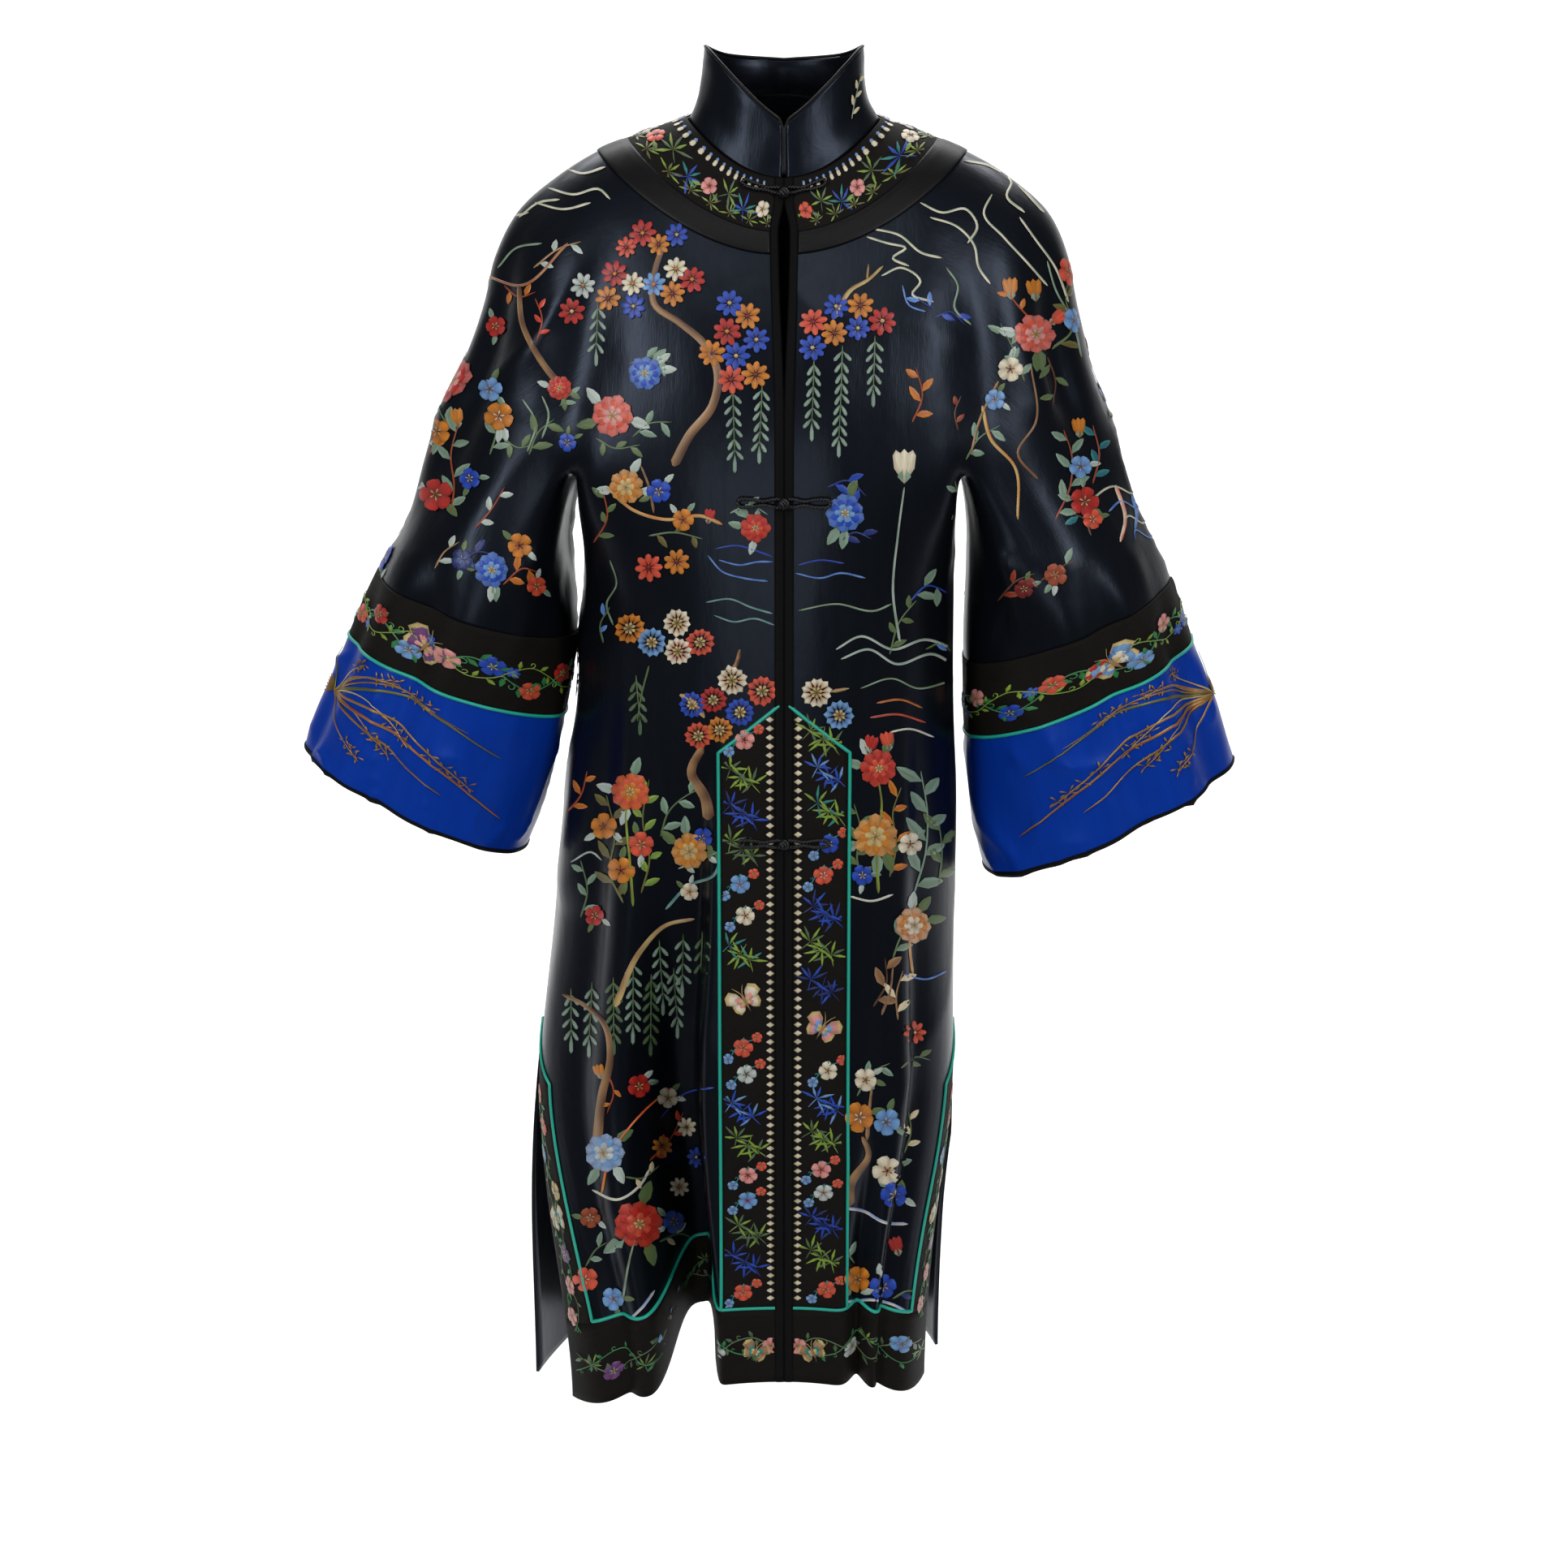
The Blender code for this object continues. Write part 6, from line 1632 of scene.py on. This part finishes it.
yoke_work = Hoop(17)
for x in np.arange(-0.286, 0.2861, 0.0088):
    place = (x, (YOKE_MIDDLE_V - 0.020) * YOKE_DOWN)
    yoke_work.petal(place, math.pi, 0.0086, 0.0046, floss("cream"), floss("straw"), DROP)
    yoke_work.petal((x, place[1] + 0.0006), math.pi, 0.0032, 0.0036, floss("sky"), floss("blue"), ROUND,
                    over=0.0004)
for i, x in enumerate(np.linspace(-0.290, 0.290, 31)):
    y = -0.0005 + 0.0045 * math.sin(i * 2.1)
    if abs(abs(x) - 0.148) < 0.012:
        yoke_work.butterfly((x, y - 0.001), math.copysign(0.6, x), 0.0135, "grey", "tan",
                            "plum" if i % 2 else "sky")
    elif i % 3 == 0:
        yoke_work.blossom((x, y), 0.0074, ("coral", "pink", "cream", "pink")[i // 3 % 4], "wine")
        yoke_work.leaf((x + 0.006, y - 0.004), -1.9, 0.0090, 0.0034, "leaf")
        yoke_work.leaf((x - 0.006, y - 0.003), 1.9, 0.0090, 0.0034, "lime")
    else:
        yoke_work.bamboo((x, y), yoke_work.chance.uniform(-0.9, 0.9), 0.0150, ("lime", "leaf", "blue")[i % 3],
                         ("leaf", "lime", "teal")[i % 3])
    yoke_work.bamboo((x + 0.009, -0.0115), yoke_work.chance.uniform(-0.6, 0.6), 0.0095, "olive", "lime")
yoke_work.draped("embroidery_yoke", on_surface(neck_point, RIGHT, yoke_place))

BAND_PATTERN = [  # height, kind, dye, second dye, for the right band and then for the left one
    [(-0.508, "blossom", "pink", "wine"), (-0.540, "bamboo", "lime", "leaf"),
     (-0.572, "bamboo", "blue", "navy"), (-0.604, "bamboo", "leaf", "lime"),
     (-0.636, "blossom", "sky", "straw"), (-0.664, "blossom", "cream", "wine"),
     (-0.698, "bamboo", "lime", "teal"), (-0.742, "butterfly", "cream", "pink"),
     (-0.784, "blossom", "coral", "straw"), (-0.808, "blossom", "grey", "wine"),
     (-0.842, "bamboo", "blue", "sky"), (-0.876, "bamboo", "lime", "leaf"),
     (-0.908, "blossom", "pink", "wine"), (-0.934, "blossom", "sky", "coral"),
     (-0.966, "bamboo", "leaf", "lime"), (-0.998, "bamboo", "blue", "navy"),
     (-1.030, "blossom", "coral", "straw")],
    [(-0.506, "bamboo", "lime", "leaf"), (-0.538, "bamboo", "blue", "sky"),
     (-0.570, "bamboo", "lime", "teal"), (-0.600, "blossom", "blue", "straw"),
     (-0.628, "blossom", "coral", "cream"), (-0.662, "bamboo", "blue", "navy"),
     (-0.694, "bamboo", "lime", "leaf"), (-0.728, "bamboo", "navy", "blue"),
     (-0.768, "butterfly", "pink", "sky"), (-0.806, "blossom", "cream", "wine"),
     (-0.838, "bamboo", "blue", "sky"), (-0.870, "bamboo", "lime", "leaf"),
     (-0.902, "blossom", "pink", "wine"), (-0.926, "blossom", "grey", "coral"),
     (-0.958, "bamboo", "blue", "navy"), (-0.992, "bamboo", "lime", "leaf"),
     (-1.026, "blossom", "coral", "straw")],
]
for side, pattern in ((RIGHT, BAND_PATTERN[0]), (LEFT, BAND_PATTERN[1])):
    worn = SIDE_NAMES[side]
    band_work = Hoop(23 + side)
    for y in np.arange(-0.490, -1.040, -0.0078):
        band_work.petal((side * (BINDING + 0.0004), y), -side * math.pi / 2, 0.0070, 0.0062, floss("cream"),
                        floss("straw"), TOOTH, cells=(3, 2))
    for y, kind, name, second in pattern:
        x = side * (0.0345 + band_work.chance.uniform(-0.004, 0.004))
        if kind == "blossom":
            band_work.vine([(x - 0.012, y - 0.010), (x - 0.004, y + 0.002), (x + 0.010, y + 0.008)], "teal",
                           0.0008, 0.005)
            band_work.blossom((x, y), 0.0086, name, second)
            for off, little in ((-0.013, "sky"), (0.012, "coral")):
                band_work.blossom((x + off, y + off * 0.8), 0.0048, little)
        elif kind == "bamboo":
            for lean, off, names in (
                (0.5, 0.009, (name, second)), (-0.6, -0.009, (second, name)), (2.6, 0.001, (name, name)),
            ):
                turn = lean + band_work.chance.uniform(-0.4, 0.4)
                band_work.bamboo((x + off, y - off * 0.7), turn, 0.0155, *names)
        else:
            band_work.butterfly((x - side * 0.002, y), -side * 0.5, 0.0185, name, "straw", second)
    surface = lambda u, v: panel_point(side, "front", u, v)
    band_work.draped(f"embroidery_band_{worn}", on_surface(surface, side, band_place(side)))

    hem_work, slit_work, back_hem, back_slit = (Hoop(seed + side) for seed in (31, 37, 41, 43))
    for work, face, seen in ((hem_work, "front", side), (back_hem, "back", -side)):
        xs = np.arange(0.012, HEMS[side, face].edge_x, 0.016)
        wave = [(seen * x, 0.009 * math.sin(i * 1.25)) for i, x in enumerate(xs)]
        work.vine(wave, "leaf", 0.0009, 0.0075, 0.008)
        work.vine([(x, -y) for x, y in wave], "green", 0.0008, 0.0060, 0.010)
        for i, (x, y) in enumerate(wave):
            if i % 3 == 0:
                work.blossom((x, y), 0.0078, ("pink", "grey", "sky", "plum", "cream")[i // 3 % 5], "straw")
            elif i % 3 == 1:
                work.bamboo((x, -y), work.chance.uniform(-1, 1), 0.0095, "leaf", "lime")
        work.butterfly((seen * 0.026, -0.006), 0.4 * seen, 0.0150, "tan", "straw", "teal")
    for work in (slit_work, back_slit):
        ys = np.arange(-0.862, -1.062, -0.013)
        wave = [(0.009 * math.sin(i * 1.3), y) for i, y in enumerate(ys)]
        work.vine(wave, "green", 0.0009, 0.0075, 0.008)
        work.vine([(-x, y) for x, y in wave], "leaf", 0.0008, 0.0060, 0.010)
        for i, (x, y) in enumerate(wave):
            if i % 2 == 0:
                name = ("coral", "sky", "straw", "plum", "pink")[i // 3 % 5]
                work.blossom((x * 1.1, y), 0.0080, name, "cream")
        work.butterfly((0.004, -0.965), 0.3, 0.0160, "grey", "straw", "teal")
    hem_work.draped(f"embroidery_hem_front_{worn}", on_surface(surface, side, hem_place(side, "front")))
    slit_work.draped(f"embroidery_slit_front_{worn}", on_surface(surface, side, slit_place(side, "front")))
    surface = lambda u, v: panel_point(side, "back", u, v)
    back_hem.draped(f"embroidery_hem_back_{worn}", on_surface(surface, side, hem_place(side, "back")))
    back_slit.draped(f"embroidery_slit_back_{worn}", on_surface(surface, side, slit_place(side, "back")))

    arm_work = Hoop(53 + side)
    xs = np.arange(-0.244, 0.2441, 0.0165)
    wave = [(x, 0.013 * math.sin(i * 1.15)) for i, x in enumerate(xs)]
    arm_work.vine(wave, "green", 0.0013, 0.0115, 0.0085)
    arm_work.vine([(x, -y * 0.9 + 0.002) for x, y in wave], "lime", 0.0010, 0.0090, 0.010)
    for i, (x, y) in enumerate(wave):
        if i % 2 == 0:
            arm_work.blossom((x, y), 0.0108, ("sky", "pink", "blue", "coral", "red")[i // 2 % 5], "straw")
        elif i % 4 == 1:
            arm_work.ring_of((x, -y), 6, 0.0066, 0.0040, floss("blue"), floss("sky"), ROUND)
    for x in (-side * 0.098, side * 0.120):
        arm_work.butterfly((x, 0.0), side * 0.5, 0.0260, "plum" if side == RIGHT else "sky", "straw",
                           "pink" if side == RIGHT else "cream")
    surface = lambda q, v: sleeve_point(side, q, v)
    arm_work.draped(f"embroidery_arm_band_{worn}", on_surface(
        surface, side, sleeve_place(side, 0.5 * (BAND_TOP_V + BAND_END_V), BAND_TOP_V, BAND_END_V - 0.01)))


def collar_place(x, y):
    return -300 + np.degrees(x / 0.068), 0.55 + y / 0.065


twig_work = Hoop(83)
twig_work.spray([(-0.010, -0.016), (-0.002, -0.002), (0.008, 0.012)], "cream", 0.0095, "sage", 0.0010, 0.006)
twig_work.draped("embroidery_collar", on_surface(collar_point, RIGHT, collar_place))


# Gold-wrapped thread couched on the cuffs: orchids with long arching leaves and thin flower stalks.
# The gold thread has the same painted shade between its strands as the floss.
GOLD_THREAD = floss_silk("gold_thread", 0.34, Metallic=0.35, Specular_IOR_Level=0.5)
for side in (RIGHT, LEFT):
    gold_work = Hoop(61 + side)
    for turn_to, root in ((-side, (-side * 0.022, 0.012)), (side, (side * 0.030, 0.006))):
        for end, sag, name, width in (
            ((0.152, 0.012), 0.030, "olive", 0.0022), ((0.140, -0.030), 0.022, "gold", 0.0020),
            ((0.120, -0.046), 0.006, "brown", 0.0022), ((0.100, 0.040), 0.022, "tan", 0.0018),
            ((0.090, -0.010), 0.020, "straw", 0.0012), ((0.066, 0.050), 0.010, "gold", 0.0014),
            ((0.058, -0.052), -0.004, "tan", 0.0016), ((-0.016, 0.046), 0.004, "olive", 0.0014),
            ((0.166, -0.052), 0.018, "rust", 0.0024), ((0.034, 0.052), 0.004, "straw", 0.0011),
            ((0.078, -0.034), 0.014, "gold", 0.0012), ((0.124, 0.030), 0.026, "brown", 0.0014),
        ):
            tip = (root[0] + turn_to * end[0], root[1] + end[1] * 0.86)
            middle = ((root[0] + tip[0]) / 2, (root[1] + tip[1]) / 2 + sag)
            lit = "gold" if name in ("brown", "rust") else None
            gold_work.stem([root, middle, tip], width * 1.5, width * 0.5, name, 0.0006, lit=lit, step=0.004)
            if name in ("straw", "gold", "tan"):
                for share in (0.5, 0.66, 0.80, 0.92):
                    at = (mix(middle[0], tip[0], share), mix(middle[1], tip[1], share) + 0.002)
                    gold_work.ring_of(at, 4, 0.0072, 0.0020, floss("gold"), floss("brown"), SLIM, 0.0003,
                                      cells=(2, 2))
        for i in range(7):
            turn = turn_to * (0.6 + 0.25 * i)
            gold_work.petal(root, turn, 0.018, 0.0024, floss("gold"), floss("brown"), SLIM, over=0.0002)
    on_cuff = on_surface(cuff_surface(side), side,
                         sleeve_place(side, 0.5 * (BAND_END_V + 2), BAND_END_V + 0.01, 1.98))
    gold_work.draped(f"gold_work_cuff_{SIDE_NAMES[side]}", on_cuff, GOLD_THREAD)


# The floor, the light and the camera.
# A pale floor that curves up into a backdrop, wide soft lights on both sides that give the satin its long
# gleams, and the camera where the photograph was taken from.

FLOOR_Z, FLOOR_FRONT, SWEEP_START = -1.48, -0.45, 4.6
sweep = bmesh.new()
bmesh.ops.create_grid(sweep, x_segments=2, y_segments=90, size=9.0)
for vert in sweep.verts:
    vert.co.y = mix(FLOOR_FRONT, 9.0, (vert.co.y + 9) / 18)
    up = max(0.0, vert.co.y - SWEEP_START)
    vert.co.z = FLOOR_Z + (up * up * 0.5 if up < 2 else 2 + (up - 2) * 2)
    vert.co.y = vert.co.y - up * 0.5 if up < 2 else SWEEP_START + 1
mesh = bpy.data.meshes.new("backdrop")
sweep.to_mesh(mesh)
sweep.free()
mesh.shade_smooth()
paper = Finish("backdrop_paper", Roughness=0.9, Specular_IOR_Level=0.1)
grain = paper.noise(paper.node("TexCoord", out="Object"), 40.0, 2.0)
paper.feed("Base Color", paper.tinted(grain, dye("f4f4f4"), dye("fbfbfb")))
mesh.materials.append(paper.material)
backdrop = bpy.data.objects.new("backdrop", mesh)
bpy.context.scene.collection.objects.link(backdrop)

world = bpy.data.worlds.new("studio")
bpy.context.scene.world = world
world.use_nodes = True
world.node_tree.nodes["Background"].inputs[0].default_value = (0.9, 0.95, 1.0, 1)
world.node_tree.nodes["Background"].inputs[1].default_value = 0.10

Lamp = namedtuple("Lamp", "name place aim width height power")
LAMPS = [
    Lamp("left_bank", (-2.0, -2.3, 0.9), (0, 0, -0.5), 0.8, 1.8, 50),
    Lamp("right_bank", (2.0, -2.3, 0.9), (0, 0, -0.5), 0.8, 1.8, 46),
    Lamp("high_front", (0.0, -2.0, 2.4), (0, 0, -0.4), 1.6, 0.8, 16),
    Lamp("low_front", (-0.25, -2.75, -0.75), (0, 0, -0.4), 1.0, 0.7, 7),
    Lamp("floor_wash", (0.0, 2.0, 2.2), (0, 1.5, -1.5), 3.6, 1.4, 75),
    Lamp("backdrop_wash", (0.0, 2.6, 3.2), (0, 5.6, -0.6), 6.0, 0.8, 270),
]
for lamp in LAMPS:
    light = bpy.data.lights.new(lamp.name, "AREA")
    light.shape, light.size, light.size_y, light.energy = "RECTANGLE", lamp.width, lamp.height, lamp.power
    holder = bpy.data.objects.new(lamp.name, light)
    holder.location = lamp.place
    holder.rotation_euler = (Vector(lamp.aim) - Vector(lamp.place)).to_track_quat("-Z", "Y").to_euler()
    bpy.context.scene.collection.objects.link(holder)

camera = bpy.data.cameras.new("camera")
camera.sensor_width, camera.lens = 36.0, FOCAL / DRAWING * 36
camera_holder = bpy.data.objects.new("camera", camera)
camera_holder.location = SIGHT_FROM
camera_holder.rotation_euler = (math.pi / 2 - SIGHT_DOWN, 0, 0)
bpy.context.scene.collection.objects.link(camera_holder)
bpy.context.scene.camera = camera_holder
bpy.context.scene.view_settings.view_transform = "Standard"
